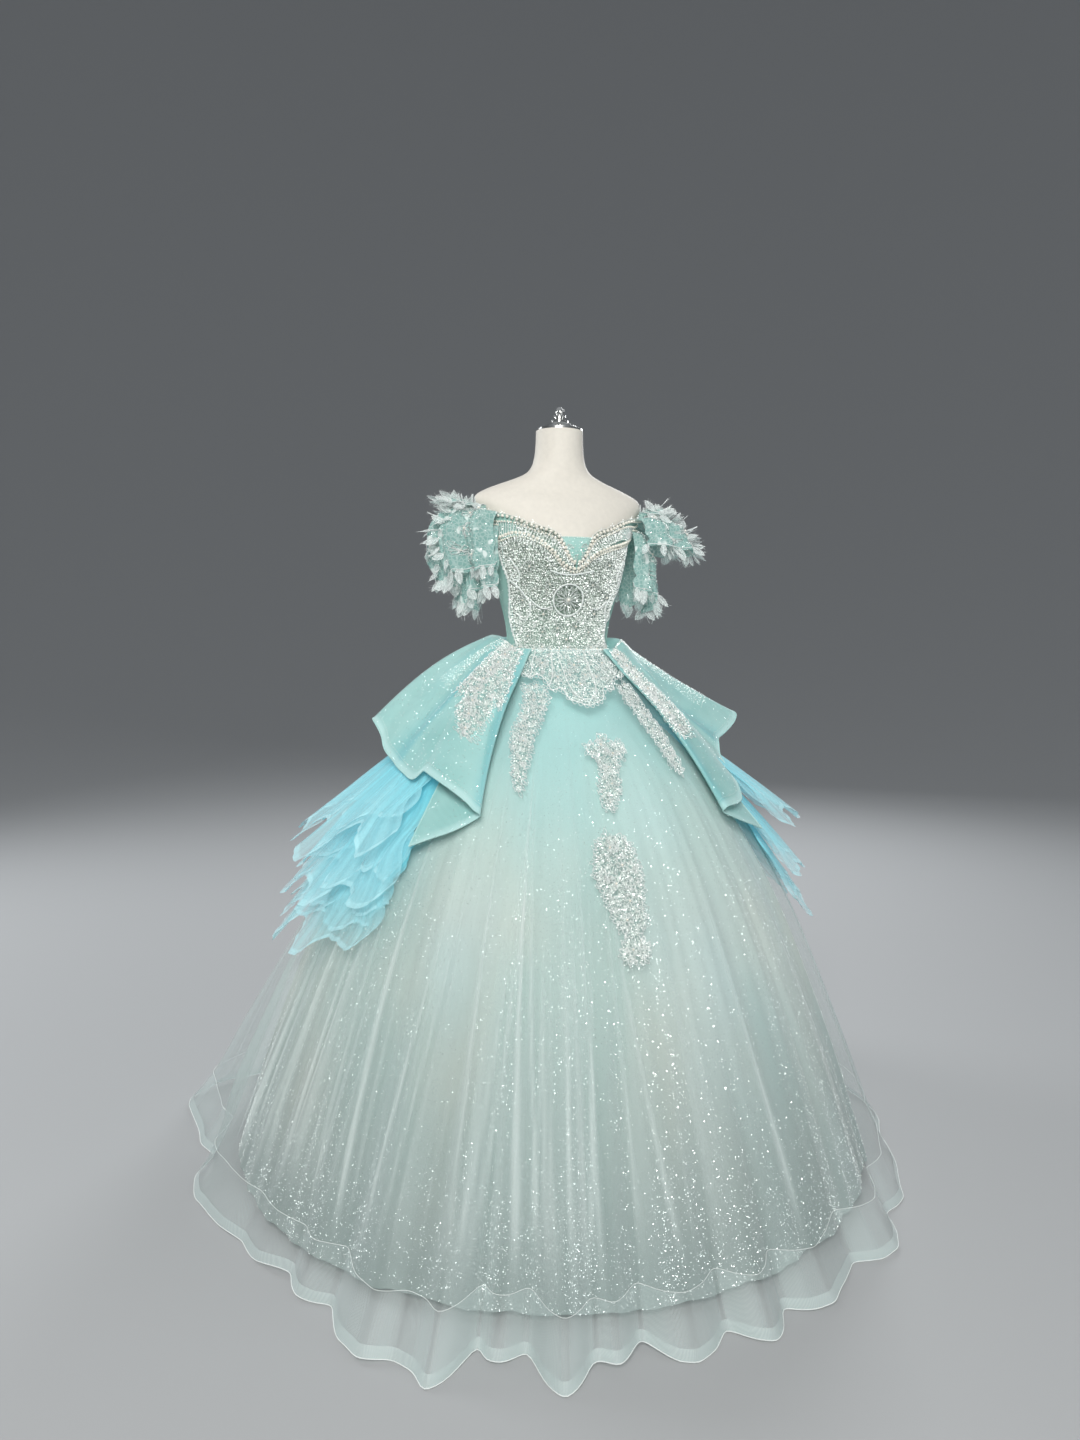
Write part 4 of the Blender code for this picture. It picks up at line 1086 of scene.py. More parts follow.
def lining_streaks(azimuth, down):
    """How thickly glitter lies on the lining: in streaks, and thickest at the hem."""
    streaks = ripple(azimuth, (23, 37, 59, 71), 8) * 0.55 + ripple(azimuth, (7, 11), 9) * 0.35
    body = np.clip(0.30 + 0.55 * streaks, 0.05, 1.0) * soft(0.12, 0.45, down)
    hem = soft(0.72, 0.97, down) * (0.55 + 0.35 * ripple(azimuth, (31, 53), 10))
    return np.clip(0.05 + 0.65 * body + 0.55 * hem, 0.0, 1.0)


def make_lining():
    """The glitter underskirt, with loose flakes over its painted ones."""
    azimuths = np.arange(-180.0, 180.0, 0.75)[None]
    heights = np.linspace(SKIRT_TOP, LINING_HEM, 60)[:, None]
    down = 1.0 - heights / SKIRT_TOP
    points = LINING.at(azimuths, heights, WALL)
    piece = add_cloth("skirt_glitter", points, GLITTER_CLOTH, "glitter_cloth", closed=True,
                      streak=lining_streaks(azimuths, down))
    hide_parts("skirt_lining")
    scatter_glitter(FLAKE_COUNT)


def scatter_glitter(count):
    """Flakes on the lining, thick where its streaks are, each tilted its own way."""
    rng = np.random.default_rng(5)
    azimuth = rng.uniform(-180.0, 180.0, count * 4)
    height = SKIRT_TOP - (SKIRT_TOP - LINING_HEM) * np.sqrt(rng.uniform(0.02, 1.0, count * 4))
    wanted = lining_streaks(azimuth, 1.0 - height / SKIRT_TOP) ** 1.6
    kept = np.flatnonzero(rng.uniform(0.0, 1.0, count * 4) < wanted)[:count]
    azimuth, height = azimuth[kept], height[kept]
    middle = LINING.at(azimuth, height, WALL + FLAKE_LIFT)
    beside = LINING.at(azimuth + 0.1, height, WALL + FLAKE_LIFT)
    side = units(units(beside - middle) + rng.normal(0.0, 0.35, middle.shape))
    up = units(np.cross(side, np.cross((0.0, 0.0, 1.0), side))
               + rng.normal(0.0, 0.35, middle.shape))
    half = rng.uniform(0.0003, 0.0009, len(kept))[:, None]
    corners = [middle - side * half, middle - up * half, middle + side * half,
               middle + up * half]
    faces = np.arange(len(kept) * 4).reshape(-1, 4)
    make_piece("skirt_flakes", np.stack(corners, axis=1), faces, SPARK, "glitter_cloth", False)


def hem_lift(azimuth):
    """How far the overskirt's edge lies off the floor."""
    return 0.007 * np.clip(0.35 + ripple(azimuth, (9, 14, 23), 6), 0.0, 1.6)


def make_overlay():
    """The tulle overskirt, the braid along its foot, the bound edge and two thin cords."""
    azimuths = np.arange(-180.0, 180.0, SKIRT_STEP)[None]
    heights = np.concatenate([np.linspace(SKIRT_TOP, WAIST_ROWS_END, 9)[:-1],
                              np.linspace(WAIST_ROWS_END, BRAID_TOP, 84)])[:, None]
    points = OVERLAY.at(azimuths, heights, WALL / 2)
    down = np.broadcast_to(1.0 - heights / SKIRT_TOP, points.shape[:2])
    piece = add_cloth("skirt_tulle", points, TULLE, "tulle_pale", closed=True,
                      fold=overlay_doubling(azimuths, down))
    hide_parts("skirt_overlay")

    low = HEM_LOW + hem_lift(azimuths)
    heights = BRAID_TOP + (low - BRAID_TOP) * np.linspace(0.0, 1.0, 13)[:, None]
    points = OVERLAY.at(azimuths, heights, WALL / 2)
    down = 1.0 - heights / SKIRT_TOP
    piece = add_cloth("hem_net", points, BRAID, "horsehair_braid", closed=True,
                      fold=overlay_doubling(azimuths, down))
    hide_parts("hem_braid")
    heights = low + HEM_BINDING * np.linspace(1.0, 0.0, 4)[:, None]
    points = OVERLAY.at(azimuths, heights, WALL)
    add_cloth("hem_edge", points, BINDING, "horsehair_braid", closed=True)
    ring = np.append(azimuths[0], azimuths[0, 0] + 360.0)
    for name, height, radius in (("hem_seam_cord", BRAID_TOP, 0.0005),
                                 ("hem_edge_cord", low[0], 0.0010)):
        height = np.append(np.broadcast_to(height, azimuths.shape[1]), np.ravel(height)[0])
        points = OVERLAY.at(ring, height, WALL)
        make_piece(name, *tube(points, radius, 4), THREAD, "horsehair_braid")


make_lining()
make_overlay()


# ---- a sheet read at any place ----
class Sheet:
    """A grid of cloth read at any place: u along its columns and v down its rows, 0 to 1."""

    def __init__(self, points):
        self.points, self.normals = points, grid_normals(points)

    def at(self, u, v, lift=0.0):
        rows, columns = self.points.shape[:2]
        u, v = np.broadcast_arrays(np.asarray(u, float), v)
        x, y = np.clip(u, 0.0, 1.0) * (columns - 1), np.clip(v, 0.0, 1.0) * (rows - 1)
        left = np.minimum(x.astype(int), columns - 2)
        top = np.minimum(y.astype(int), rows - 2)
        side, down = (x - left)[..., None], (y - top)[..., None]
        found = []
        for values in (self.points, self.normals):
            upper = values[top, left] * (1 - side) + values[top, left + 1] * side
            lower = values[top + 1, left] * (1 - side) + values[top + 1, left + 1] * side
            found.append(upper * (1 - down) + lower * down)
        return found[0] + units(found[1]) * np.asarray(lift)[..., None]


# ---- hip drapes ----
def drape_at(side, place, share):
    """Points of a hip drape: a place along its table's columns and a share down."""
    data = PEPLUMS[side]
    keys = np.arange(len(data["waist"]))
    place, share = np.broadcast_arrays(place, share)
    waist, azimuth, reach, fall, clearance = (
        curve(place, keys, data[key])
        for key in ("waist", "azimuth", "radius", "height", "clearance"))
    start = OVERLAY.radius(waist, PEPLUM_WAIST_LEVEL) + np.minimum(
        clearance * PEPLUM_WAIST_SHARE, PEPLUM_WAIST_OFFSET)
    down = np.maximum(share, PEPLUM_FIRST_SHARE)
    turn = waist + (azimuth - waist) * down
    height = WAIST + (fall - WAIST) * down
    puff = soft(*PUFF_START, np.abs(waist))
    front_arch = PEPLUM_ARCH * clearance / PEPLUM_CLEARANCE
    arch = front_arch + (HIP_ARCH[side] - front_arch) * puff
    height = height + arch * np.sin(math.pi * down)
    height = height + PEPLUM_PUFF * puff * (1.0 - down)
    radius = start + (reach - start) * down
    skirt = OVERLAY.radius(turn, np.minimum(height, OVERLAY_WAIST))
    radius = np.maximum(radius, skirt + clearance * soft(*CLEARANCE_START, down))
    free = polar(turn, radius, height)
    folded = polar(waist, start, WAIST)
    sewn = OVERLAY.at(waist, PEPLUM_WAIST_LEVEL, PEPLUM_SEAT)
    back = soft(*SEWN_DOWN, np.abs(waist))[..., None]
    top = folded + (sewn - folded) * back
    near = np.clip(share / PEPLUM_FIRST_SHARE, 0.0, 1.0)[..., None]
    return top + (free - top) * near


DRAPE_SHARES = np.concatenate([np.linspace(0.0, 0.06, 4)[:-1], np.linspace(0.06, 1.0, 46)])
# Where along the drape a line of painted shade runs down it.
DRAPE_SHADE_LINE = 18.6
# The crease from the waist to the hem: shares down, and the place along the drape there.
DRAPE_CREASE = ((0.0, 0.13, 0.36, 0.57, 0.75, 0.91, 1.0),
                (14.3, 14.0, 13.5, 12.5, 11.8, 11.4, 11.3))
CREASE_DEPTH = 0.006
DRAPE_SHEETS = {}


def make_drapes():
    """The hip drapes, with one sharp crease and piping along two edges; painted shade stands in
    for pleating at the waist, and darkens a line near the front and the side of the crease.
    """
    for side, sign in SIDES.items():
        count = len(PEPLUMS[side]["waist"])
        places = np.linspace(0.0, count - 1.0, 170)[None]
        if sign > 0:
            places = places[:, ::-1]
        shares = DRAPE_SHARES[:, None]
        points = drape_at(side, places, shares)
        normal = grid_normals(points)
        depth = soft(0.05, 0.6, shares)[..., None]
        wave = (ripple(places * 9.0, (3, 5, 8), 21) * 0.0044)[..., None]
        points = points + normal * (WALL + wave * depth)
        lengths = np.linalg.norm(np.diff(points, axis=0), axis=-1)
        from_hem = np.cumsum(lengths[::-1], axis=0)[::-1]
        from_hem = np.concatenate([from_hem, np.zeros((1, points.shape[1]))])
        edge = 1.0 - soft(0.009, 0.012, from_hem)
        off = places - curve(shares, *DRAPE_CREASE)
        below_waist = soft(0.08, 0.3, shares)
        crease = below_waist * np.exp(-((off / 0.45) ** 2))
        # Painted shade, carried by deep: beside the crease, over pleating at the waist that the
        # cloth's shape lacks, and along a line near the front.
        shaded = below_waist * soft(-1.6, 0.0, off) * (1.0 - soft(0.0, 0.35, off))
        pleat_shade = ripple(places * 11.0, (5, 8, 13), 22) * (1.0 - soft(0.2, 0.9, shares))
        fold = np.exp(-((places - DRAPE_SHADE_LINE) / 0.9) ** 2) * soft(0.0, 0.3, shares)
        deep = np.clip(0.35 * np.maximum(pleat_shade, 0.0) + 0.55 * fold + 0.6 * shaded, 0.0, 1.0)
        points = points + normal * (CREASE_DEPTH * crease)[..., None]
        piece = add_cloth("drape_" + side, points, DRAPE, "aqua_organza", edge=edge,
                          deep=deep)
        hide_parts("peplum_" + side)
        DRAPE_SHEETS[side] = Sheet(points)
        for name, line in (("hem", points[-1]), ("fold", points[:, -1 if sign < 0 else 0])):
            make_piece(f"drape_{name}_cord_{side}", *tube(line, 0.0016, 5), DRAPE_EDGE,
                       "aqua_organza")


make_drapes()


# ---- ruffles ----
def pointed(along, count, seed):
    """Uneven handkerchief points along a hem: 0 between them and up to 1 at a tip."""
    rng = np.random.default_rng(seed)
    total = np.zeros_like(along)
    for number in range(count):
        centre = (number + rng.uniform(0.25, 0.75)) / count
        half = rng.uniform(0.45, 0.8) / count
        total = np.maximum(total, rng.uniform(0.5, 1.0)
                           * np.clip(1.0 - np.abs(along - centre) / half, 0.0, 1.0))
    return total


def ruffle_points(row, sign, layer, columns=190, rows=20):
    """One layer of a tier: gathered at its top, flared and pointed at its hem."""
    along = np.linspace(0.0, 1.0, columns)[None]
    share = np.linspace(0.0, 1.0, rows)[:, None]
    azimuth = row["front"] + (row["back"] - row["front"]) * along
    outer = row["right"] if sign > 0 else row["left"]
    seed = int(row["top"] * 1000) + (17 if sign > 0 else 0) + 7 * layer
    swing = np.sin(2 * math.pi * row["waves"] * along + 1.9 * layer)
    folds = ripple(along * 360.0, (11, 17, 23), seed) * 0.6 * soft(0.1, 0.9, share)
    fine = ripple(along * 360.0, (37, 53, 71), seed + 1)
    tips = pointed(along, int(row["waves"] * 1.1) + layer, seed + 2)
    front = (1.0 - along) ** 8
    azimuth = azimuth + front * (2.2 + 1.5 * np.sin(11.0 * share + 2.0 * layer + row["waves"]))
    opened = RUFFLE_FRONT_REACH + (1.0 - RUFFLE_FRONT_REACH) * soft(*RUFFLE_OPENING, azimuth)
    fall = row["top"] - row["hem"] + RUFFLE_SWING * swing + row["tip"] * (tips - 0.40)
    fall = fall * (1.0 - 0.12 * front)
    height = row["top"] - fall * share * (1.0 - LAYER_RISE * layer)
    body = outer * (1.0 - LAYER_STEP_IN * layer) + row["wave"] * (swing + folds)
    flare = 0.030 * tips * share**4
    stand = RUFFLE_ROOT + opened * (share**0.85 * body + flare)
    stand = stand + 0.0026 * fine * soft(0.05, 0.4, share)
    skirt = OVERLAY.radius(sign * azimuth, height)
    radius = skirt + np.maximum(stand, WALL + 0.001 + 0.006 * share)
    points = polar(sign * azimuth, radius, height)
    return points if sign > 0 else points[:, ::-1]


def make_ruffles():
    """Three tiers of dyed tulle on each hip, each of three layers."""
    for number, name in enumerate(("low", "mid", "top")):
        row = {key: values[number] for key, values in RUFFLES.items()}
        for side, sign in SIDES.items():
            for layer in (0, 1, 2):
                points = ruffle_points(row, sign, layer)
                piece = add_cloth(f"frill_{name}_{side}_{layer + 1}", points, BLUE_TULLE,
                                  "blue_tulle")
                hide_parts(f"ruffle_{name}_{side}")


make_ruffles()


# ---- bodice ----
def bodice_top(angle):
    return curve(np.abs(angle), NECKLINE["angle"], NECKLINE["bodice"])


def band_top(angle):
    return curve(np.abs(angle), NECKLINE["angle"], NECKLINE["band"])


def band_low(angle):
    lifted = soft(*ARM_OPENING, np.abs(angle)) - soft(*BACK_JOIN, np.abs(angle))
    return bodice_top(angle) + BAND_LIFT * lifted - BAND_OVERHANG


def body_grid(start, end, low, high, offset, step=2.0, rows=30):
    angles = np.linspace(start, end, int((end - start) / step) + 2)[None]
    share = np.linspace(0.0, 1.0, rows)[:, None]
    height = high(angles) + (low(angles) - high(angles)) * share
    return on_form(angles, height, offset)


def waist_line(angle):
    return np.full_like(angle, WAIST + 0.0006)


def placket_top(angle):
    return np.full_like(angle, bodice_top(180.0) - 0.014)


def make_bodice():
    """The bodice's five panels, the insert behind its V, the placket and the neckband."""
    beaded = np.array(BODICE_EDGE_LEFT + BODICE_EDGE_RIGHT + CUP_ROW[::-1])
    for name, start, end in (("side_l", -BACK_SEAM, -FRONT_SEAM),
                             ("side_r", FRONT_SEAM, BACK_SEAM),
                             ("back_l", -CENTRE_BACK, -BACK_SEAM),
                             ("back_r", BACK_SEAM, CENTRE_BACK),
                             ("front", -FRONT_SEAM, FRONT_SEAM)):
        points = body_grid(start, end, waist_line, bodice_top, BODICE_OFFSET + WALL, 1.0, 60)
        angles = np.linspace(start, end, points.shape[1])[None]
        lace = inside(angles + 0.0 * points[..., 2], points[..., 2], beaded).astype(float)
        piece = add_cloth("panel_" + name, points, BODICE, "aqua_organza", lace=lace)
        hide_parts("bodice_" + name)
    points = on_form(np.linspace(*INSERT_SPAN, 24)[None],
                     np.linspace(*INSERT_HEIGHTS, 12)[:, None], INSERT_OFFSET)
    piece = add_cloth("neck_insert", points, INSERT, "aqua_organza")
    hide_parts("bodice_insert")
    points = body_grid(*PLACKET_SPAN, waist_line, placket_top, PLACKET_OFFSET, step=1.0)
    piece = add_cloth("button_placket", points, PANEL, "aqua_organza")
    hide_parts("back_placket")
    for side, sign in SIDES.items():
        ends = sorted((sign * 1.0, sign * CENTRE_BACK))
        points = body_grid(*ends, band_low, band_top, BAND_OFFSET + WALL, rows=8)
        angles = np.linspace(*ends, points.shape[1])[None] + 0.0 * points[..., 2]
        lace = 1.0 - soft(*BEADED_FRONT, np.abs(angles))
        piece = add_cloth("band_" + side, points, BODICE, "beaded_lace", lace=lace)
        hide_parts("neckband_" + side)


make_bodice()


# ---- lace and beads ----
# How far lace parts lie off their surface, and a bead's middle as a share of its radius.
NET_LIFT, CORD_LIFT, PETAL_LIFT, LOOP_LIFT = 0.0009, 0.0010, 0.0012, 0.0018
BEAD_STAND = 0.7


def smooth_line(points, step):
    """A smooth line through the points, with a point about every step."""
    points = np.asarray(points, float)
    gone = np.cumsum(np.linalg.norm(np.diff(points, axis=0), axis=1))
    gone = np.concatenate([[0.0], gone])
    at = np.linspace(0.0, gone[-1], max(int(gone[-1] / step), 3) + 1)
    return np.stack([curve(at, gone, column) for column in points.T], axis=1)


def box_of(outline):
    outline = np.asarray(outline)
    return outline, outline.min(axis=0), outline.max(axis=0)


def heading(turn):
    """The cosine and sine of an angle in degrees."""
    return math.cos(math.radians(turn)), math.sin(math.radians(turn))


class Lace:
    """Net, cords and beads on one surface, at places given in metres across it and up it."""

    def __init__(self, name, surface, seed):
        self.name, self.surface = name, surface
        self.rng = np.random.default_rng(seed)
        self.cords, self.pearls, self.beads, self.filled = [], [], [], []
        self.bare, self.ground, self.sewn_on = [], None, "skirt_tulle"

    def cord(self, line, radius=0.0008, step=0.004, sides=4):
        line = smooth_line(line, step)
        points = self.surface(line[:, 0], line[:, 1], CORD_LIFT + radius)
        self.cords.append(tube(points, radius, sides))

    def petal(self, x, y, length, width, turn, radius=0.0006):
        """A loop of cord pointed at its root and round at its tip."""
        t = np.linspace(0.0, 2 * math.pi, 10)
        along = length * (1.0 - np.cos(t)) / 2
        across = 0.65 * width * np.sin(t) * np.sin(t / 2)
        c, s = heading(turn)
        points = self.surface(x + along * c - across * s, y + along * s + across * c,
                              PETAL_LIFT + radius)
        self.cords.append(tube(points, radius, 3))

    def flower(self, x, y, size, petals=6, turn=0.0):
        """Petals round a pearl; the space under them is kept free of beads."""
        for number in range(petals):
            self.petal(x, y, size, size * 0.62, turn + 360.0 * number / petals)
        self.pearls.append((x, y, size * 0.22))
        self.bare.append((x, y, size * 0.85))

    def leaf(self, x, y, length, turn):
        """A petal with a vein."""
        self.petal(x, y, length, length * 0.48, turn)
        c, s = heading(turn)
        self.cord([(x, y), (x + length * c * 0.5, y + length * s * 0.5),
                   (x + length * c * 0.95, y + length * s * 0.95)], 0.0005, 0.004, 3)

    def leafed(self, outline, spacing, length):
        """Small leaves standing out all round an outline, each with a bead at its tip."""
        line = smooth_line(outline, spacing)
        x, y = line.T
        outward = -90.0 if np.sum(x * np.roll(y, -1) - y * np.roll(x, -1)) > 0 else 90.0
        for (x1, y1), (x2, y2) in zip(line, line[1:]):
            turn = math.degrees(math.atan2(y2 - y1, x2 - x1)) + outward
            turn += self.rng.uniform(-50, 50)
            reach = length * self.rng.uniform(0.55, 1.25)
            self.petal(x1, y1, reach, reach * 0.50, turn)
            tip = 1.05 * reach
            c, s = heading(turn)
            self.beads.append((x1 + tip * c, y1 + tip * s, 0.0012))

    def row(self, line, spacing, radius, pearls=False):
        """Beads or pearls one after another along a line."""
        line = smooth_line(line, spacing)
        kept = self.pearls if pearls else self.beads
        kept += [(x, y, radius) for x, y in line]

    def fill(self, outline, spacing, radius, jitter=0.28):
        """Beads all over an outline, in uneven staggered rows."""
        outline, low, high = box_of(outline)
        ys = np.arange(low[1], high[1], spacing * 0.866)
        xs = np.arange(low[0], high[0], spacing)
        x, y = np.meshgrid(xs, ys)
        x[1::2] += spacing / 2
        x = x + self.rng.normal(0.0, jitter * spacing, x.shape)
        y = y + self.rng.normal(0.0, jitter * spacing, y.shape)
        kept = inside(x, y, outline)
        sizes = radius * self.rng.choice((0.72, 1.0, 1.45), x.shape, p=(0.40, 0.42, 0.18))
        self.filled += list(zip(x[kept], y[kept], sizes[kept]))

    def loops(self, outline, spacing, size):
        """Small rings of thread all over an outline."""
        outline, low, high = box_of(outline)
        count = int(np.prod((high - low) / spacing) * 1.3)
        turn = np.linspace(0.0, 2 * math.pi, 8)
        for x, y in self.rng.uniform(low, high, (count, 2)):
            if inside(np.array([x]), np.array([y]), outline)[0]:
                radius = size * self.rng.uniform(0.7, 1.3)
                points = self.surface(x + radius * np.cos(turn), y + radius * np.sin(turn),
                                      LOOP_LIFT)
                self.cords.append(tube(points, 0.0006, 3))

    def net(self, outline, material, step=0.003):
        """The net ground: every small cell whose middle is inside the outline."""
        outline, low, high = box_of(outline)
        xs = np.arange(low[0], high[0] + step, step)
        ys = np.arange(high[1], low[1] - step, -step)
        x, y = np.meshgrid(xs, ys)
        faces = grid_faces(len(ys), len(xs))
        middle = x.ravel()[faces].mean(axis=1), y.ravel()[faces].mean(axis=1)
        kept = inside(*middle, outline)
        faces = faces[kept]
        used, numbers = np.unique(faces, return_inverse=True)
        points = self.surface(x.ravel()[used], y.ravel()[used], NET_LIFT)
        self.ground = make_piece(self.name + "_net", points, numbers.reshape(faces.shape),
                                 material, "beaded_lace")
        area = sum(face.area for face in self.ground.data.polygons)
        width = kept.reshape(len(ys) - 1, -1).sum(axis=1).max() * step
        length = (high[1] - low[1]) * area / (len(faces) * step**2)
        self.cut = (float(width), float(length), area)
        return self.ground

    def make(self, cloth="beaded_lace"):
        for x, y, radius in self.filled:
            if all((x - a) ** 2 + (y - b) ** 2 > reach**2 for a, b, reach in self.bare):
                self.beads.append((x, y, radius))
        if self.cords:
            make_piece(self.name + "_cords", *joined(self.cords), THREAD, cloth)
        for kind, spots, form, material in (("pearls", self.pearls, PEARL_FORM, PEARL),
                                            ("beads", self.beads, SMALL_BEAD, SILVER)):
            if spots:
                x, y, radius = np.array(spots).T
                points = self.surface(x, y, NET_LIFT + radius * BEAD_STAND)
                make_piece(f"{self.name}_{kind}", *scattered(form, points, radius),
                                       material, cloth)


def scalloped(line, size, out=1.0):
    """A row of small arches along a line of a plane, on its left-hand side."""
    line = smooth_line(line, size)
    parts = []
    for (x1, y1), (x2, y2) in zip(line, line[1:]):
        side = np.array([-(y2 - y1), x2 - x1]) * 0.55 * out
        for share in (0.0, 0.25, 0.5, 0.75):
            spot = np.array([x1, y1]) + share * np.array([x2 - x1, y2 - y1])
            parts.append(spot + side * math.sin(math.pi * share))
    parts.append(line[-1])
    return np.array(parts)


# ---- beadwork on the bodice ----
def off_form(offset):
    """A surface round the form at an offset: metres across the bodice, and a height."""
    def surface(x, y, lift):
        return on_form(np.asarray(x) / BODICE_SCALE, y, offset + lift)

    return surface


on_bodice = off_form(BODICE_OFFSET + WALL)
on_insert = off_form(INSERT_OFFSET)
on_placket = off_form(PLACKET_OFFSET)
on_waist = off_form(WAIST_LACE_OFFSET)
on_band = off_form(BAND_OFFSET + WALL)


def across(points, sign=1.0):
    """Places given as angle and height, in metres across the bodice."""
    points = np.array(points, float)
    return points * (sign * BODICE_SCALE, 1.0)


def band_line(sign, start, end, share):
    """A line along one side of the neckband, at a share of the way down it."""
    angles = np.linspace(sign * start, sign * end, 60)
    heights = band_top(angles) + (band_low(angles) - band_top(angles)) * share
    return np.stack([angles * BODICE_SCALE, heights], axis=1)


def make_waist_lace():
    """Flowers and a row of beads over the waist seam."""
    lace = Lace("waist_lace", on_waist, 33)
    lace.row(across([(-72.0, WAIST), (0.0, WAIST), (60.0, WAIST)]), 0.0046, 0.0019)
    for number, angle in enumerate(np.arange(-66.0, 60.0, 9.0)):
        shift = 0.003 * math.sin(2.0 * number)
        lace.flower(*across([(angle, WAIST + 0.002 + shift)])[0], 0.0095, 6, 25.0 * number)
        lace.leaf(*across([(angle + 4.0, WAIST + 0.001 - shift)])[0], 0.012, 120.0 * number)
    lace.make()


def make_bodice_lace():
    """The bodice's beadwork: cords, the round flower, the pearl rows and the beads between."""
    lace = Lace("bodice_lace", on_bodice, 31)
    outline = across(BODICE_EDGE_LEFT + BODICE_EDGE_RIGHT + CUP_ROW[::-1])
    lace.fill(outline, 0.0042, 0.00155, 0.16)
    for name, line in CORDS.items():
        lace.cord(across(line), 0.0018)
        if name != "arc":
            lace.cord(across(line, -1.0), 0.0018)
    for edge in (BODICE_EDGE_LEFT, BODICE_EDGE_RIGHT):
        lace.cord(across(edge), 0.0013)
        lace.cord(scalloped(across(edge), 0.010, -1.0), 0.0009)
    x, y = across([MEDALLION])[0]
    turn = np.linspace(0.0, 2 * math.pi, 40)
    ring = np.stack([x + MEDALLION_RADIUS * np.cos(turn), y + MEDALLION_RADIUS * np.sin(turn)],
                    axis=1)
    lace.cord(ring, 0.0019)
    lace.bare.append((x, y, MEDALLION_RADIUS * 0.92))
    for number in range(MEDALLION_PETALS):
        lace.petal(x, y, MEDALLION_RADIUS * 0.86, 0.0065, 360.0 / MEDALLION_PETALS * number,
                   0.0008)
    lace.pearls.append((x, y, 0.0042))
    for angle, height, size in BODICE_FLOWERS:
        lace.flower(*across([(angle, height)])[0], size, 6, angle * 7.0)
    for angle, height, length, turn in BODICE_LEAVES:
        lace.leaf(*across([(angle, height)])[0], length, turn)
    cup = smooth_line(across(CUP_ROW), 0.0086)
    lace.row(cup, 0.0086, 0.0042, pearls=True)
    lace.row(cup - (0.0, 0.0076), 0.0060, 0.0026, pearls=True)
    for (x1, y1), (x2, y2) in zip(cup, cup[1:]):
        across_row = units(np.array([y2 - y1, x1 - x2]))
        start = np.array([x1, y1]) + across_row * 0.010
        lace.cord([start, start + across_row * 0.005, start + across_row * 0.009], 0.0010,
                  0.009, 4)
    lace.make()


def make_band_lace():
    """Pearls along the band, short bugles across it, and pointed net above it."""
    for side, sign in SIDES.items():
        lace = Lace("band_lace_" + side, on_band, 41)
        lace.row(band_line(sign, 2.0, 178.0, 0.09), 0.0086, 0.0041, pearls=True)
        lace.row(band_line(sign, 2.0, 178.0, 0.33), 0.0064, 0.0027, pearls=True)
        front = [band_line(sign, 2.0, 46.0, 0.12), band_line(sign, 46.0, 2.0, 0.98)]
        lace.fill(np.concatenate(front), 0.0047, 0.0016)
        lace.row(band_line(sign, 8.0, 178.0, 0.92), 0.0046, 0.0016)
        top, low = band_line(sign, 3.0, 70.0, 0.32), band_line(sign, 3.0, 70.0, 0.86)
        for start, end in zip(smooth_line(top, 0.0058), smooth_line(low, 0.0058)):
            lace.cord([start, (start + end) / 2, end], 0.0009, 0.008, 4)
        band = [band_line(sign, 6.0, 110.0, 0.30), band_line(sign, 110.0, 6.0, 0.86)]
        lace.fill(np.concatenate(band), 0.0062, 0.0012)
        edge = band_line(sign, 6.0, 178.0, 0.0)
        lace.cord(scalloped(edge, 0.0135, sign * 0.45), 0.0005)
        peaks = smooth_line(edge, 0.0270)
        for x, y in (peaks[1:] + peaks[:-1]) / 2:
            for shift, rise, radius in PICOT:
                lace.beads.append((x + shift, y + rise, radius))
        lace.make()


def make_insert_lace():
    """A few leaves and beads on the plain cloth behind the V."""
    lace = Lace("insert_lace", on_insert, 35)
    lace.fill(across(INSERT_EDGE), 0.0078, 0.0011, 0.3)
    lace.row(across(INSERT_ROW), 0.0042, 0.0012)
    for angle, height, turn in INSERT_LEAVES:
        lace.leaf(*across([(angle, height)])[0], 0.014, turn)
    lace.make()


def make_back():
    """Covered buttons with their loops down the placket, and the panels' seams."""
    lace = Lace("back_buttons", on_placket, 35)
    middle = 180.0 * BODICE_SCALE
    for height in np.arange(WAIST + 0.012, bodice_top(180.0) - 0.016, 0.0155):
        lace.pearls.append((middle, height, 0.0046))
        turn = np.linspace(-0.6 * math.pi, 0.6 * math.pi, 9)
        loop = np.stack([middle + 0.004 + 0.0058 * np.cos(turn), height + 0.0058 * np.sin(turn)],
                        axis=1)
        lace.cord(loop, 0.0006, 0.003)
    lace.make("aqua_organza")
    seams = []
    for angle in SEAMS:
        heights = np.linspace(WAIST + 0.001, bodice_top(angle) - 0.001, 24)
        surface = on_placket if abs(abs(angle) - 180.0) < 9.0 else on_bodice
        seams.append(tube(surface(angle * BODICE_SCALE + 0.0 * heights, heights, 0.0003),
                          0.0010, 5))
    make_piece("bodice_seams", *joined(seams), PANEL, "aqua_organza")


def make_drape_seams():
    """A row of stitching inside the edge of each hip drape."""
    for side, sheet in DRAPE_SHEETS.items():
        u = np.linspace(0.0, 1.0, 260)
        stitches = [tube(sheet.at(u[k:k + 2] * (1.0, 1.0), 0.955, 0.0005), 0.0004, 3)
                    for k in range(0, 258, 2)]
        make_piece("drape_stitches_" + side, *joined(stitches), THREAD, "aqua_organza")


make_back()
make_drape_seams()
make_bodice_lace()
make_waist_lace()
make_insert_lace()
make_band_lace()


# ---- lace on the skirt ----
def on_overlay(x, y, lift):
    """The skirt's front, at metres to the side of its middle and a height."""
    middle = np.interp(y, OVERLAY.heights, OVERLAY.radii.min(axis=1))
    return OVERLAY.at(np.degrees(np.asarray(x) / middle), y, WALL + lift)


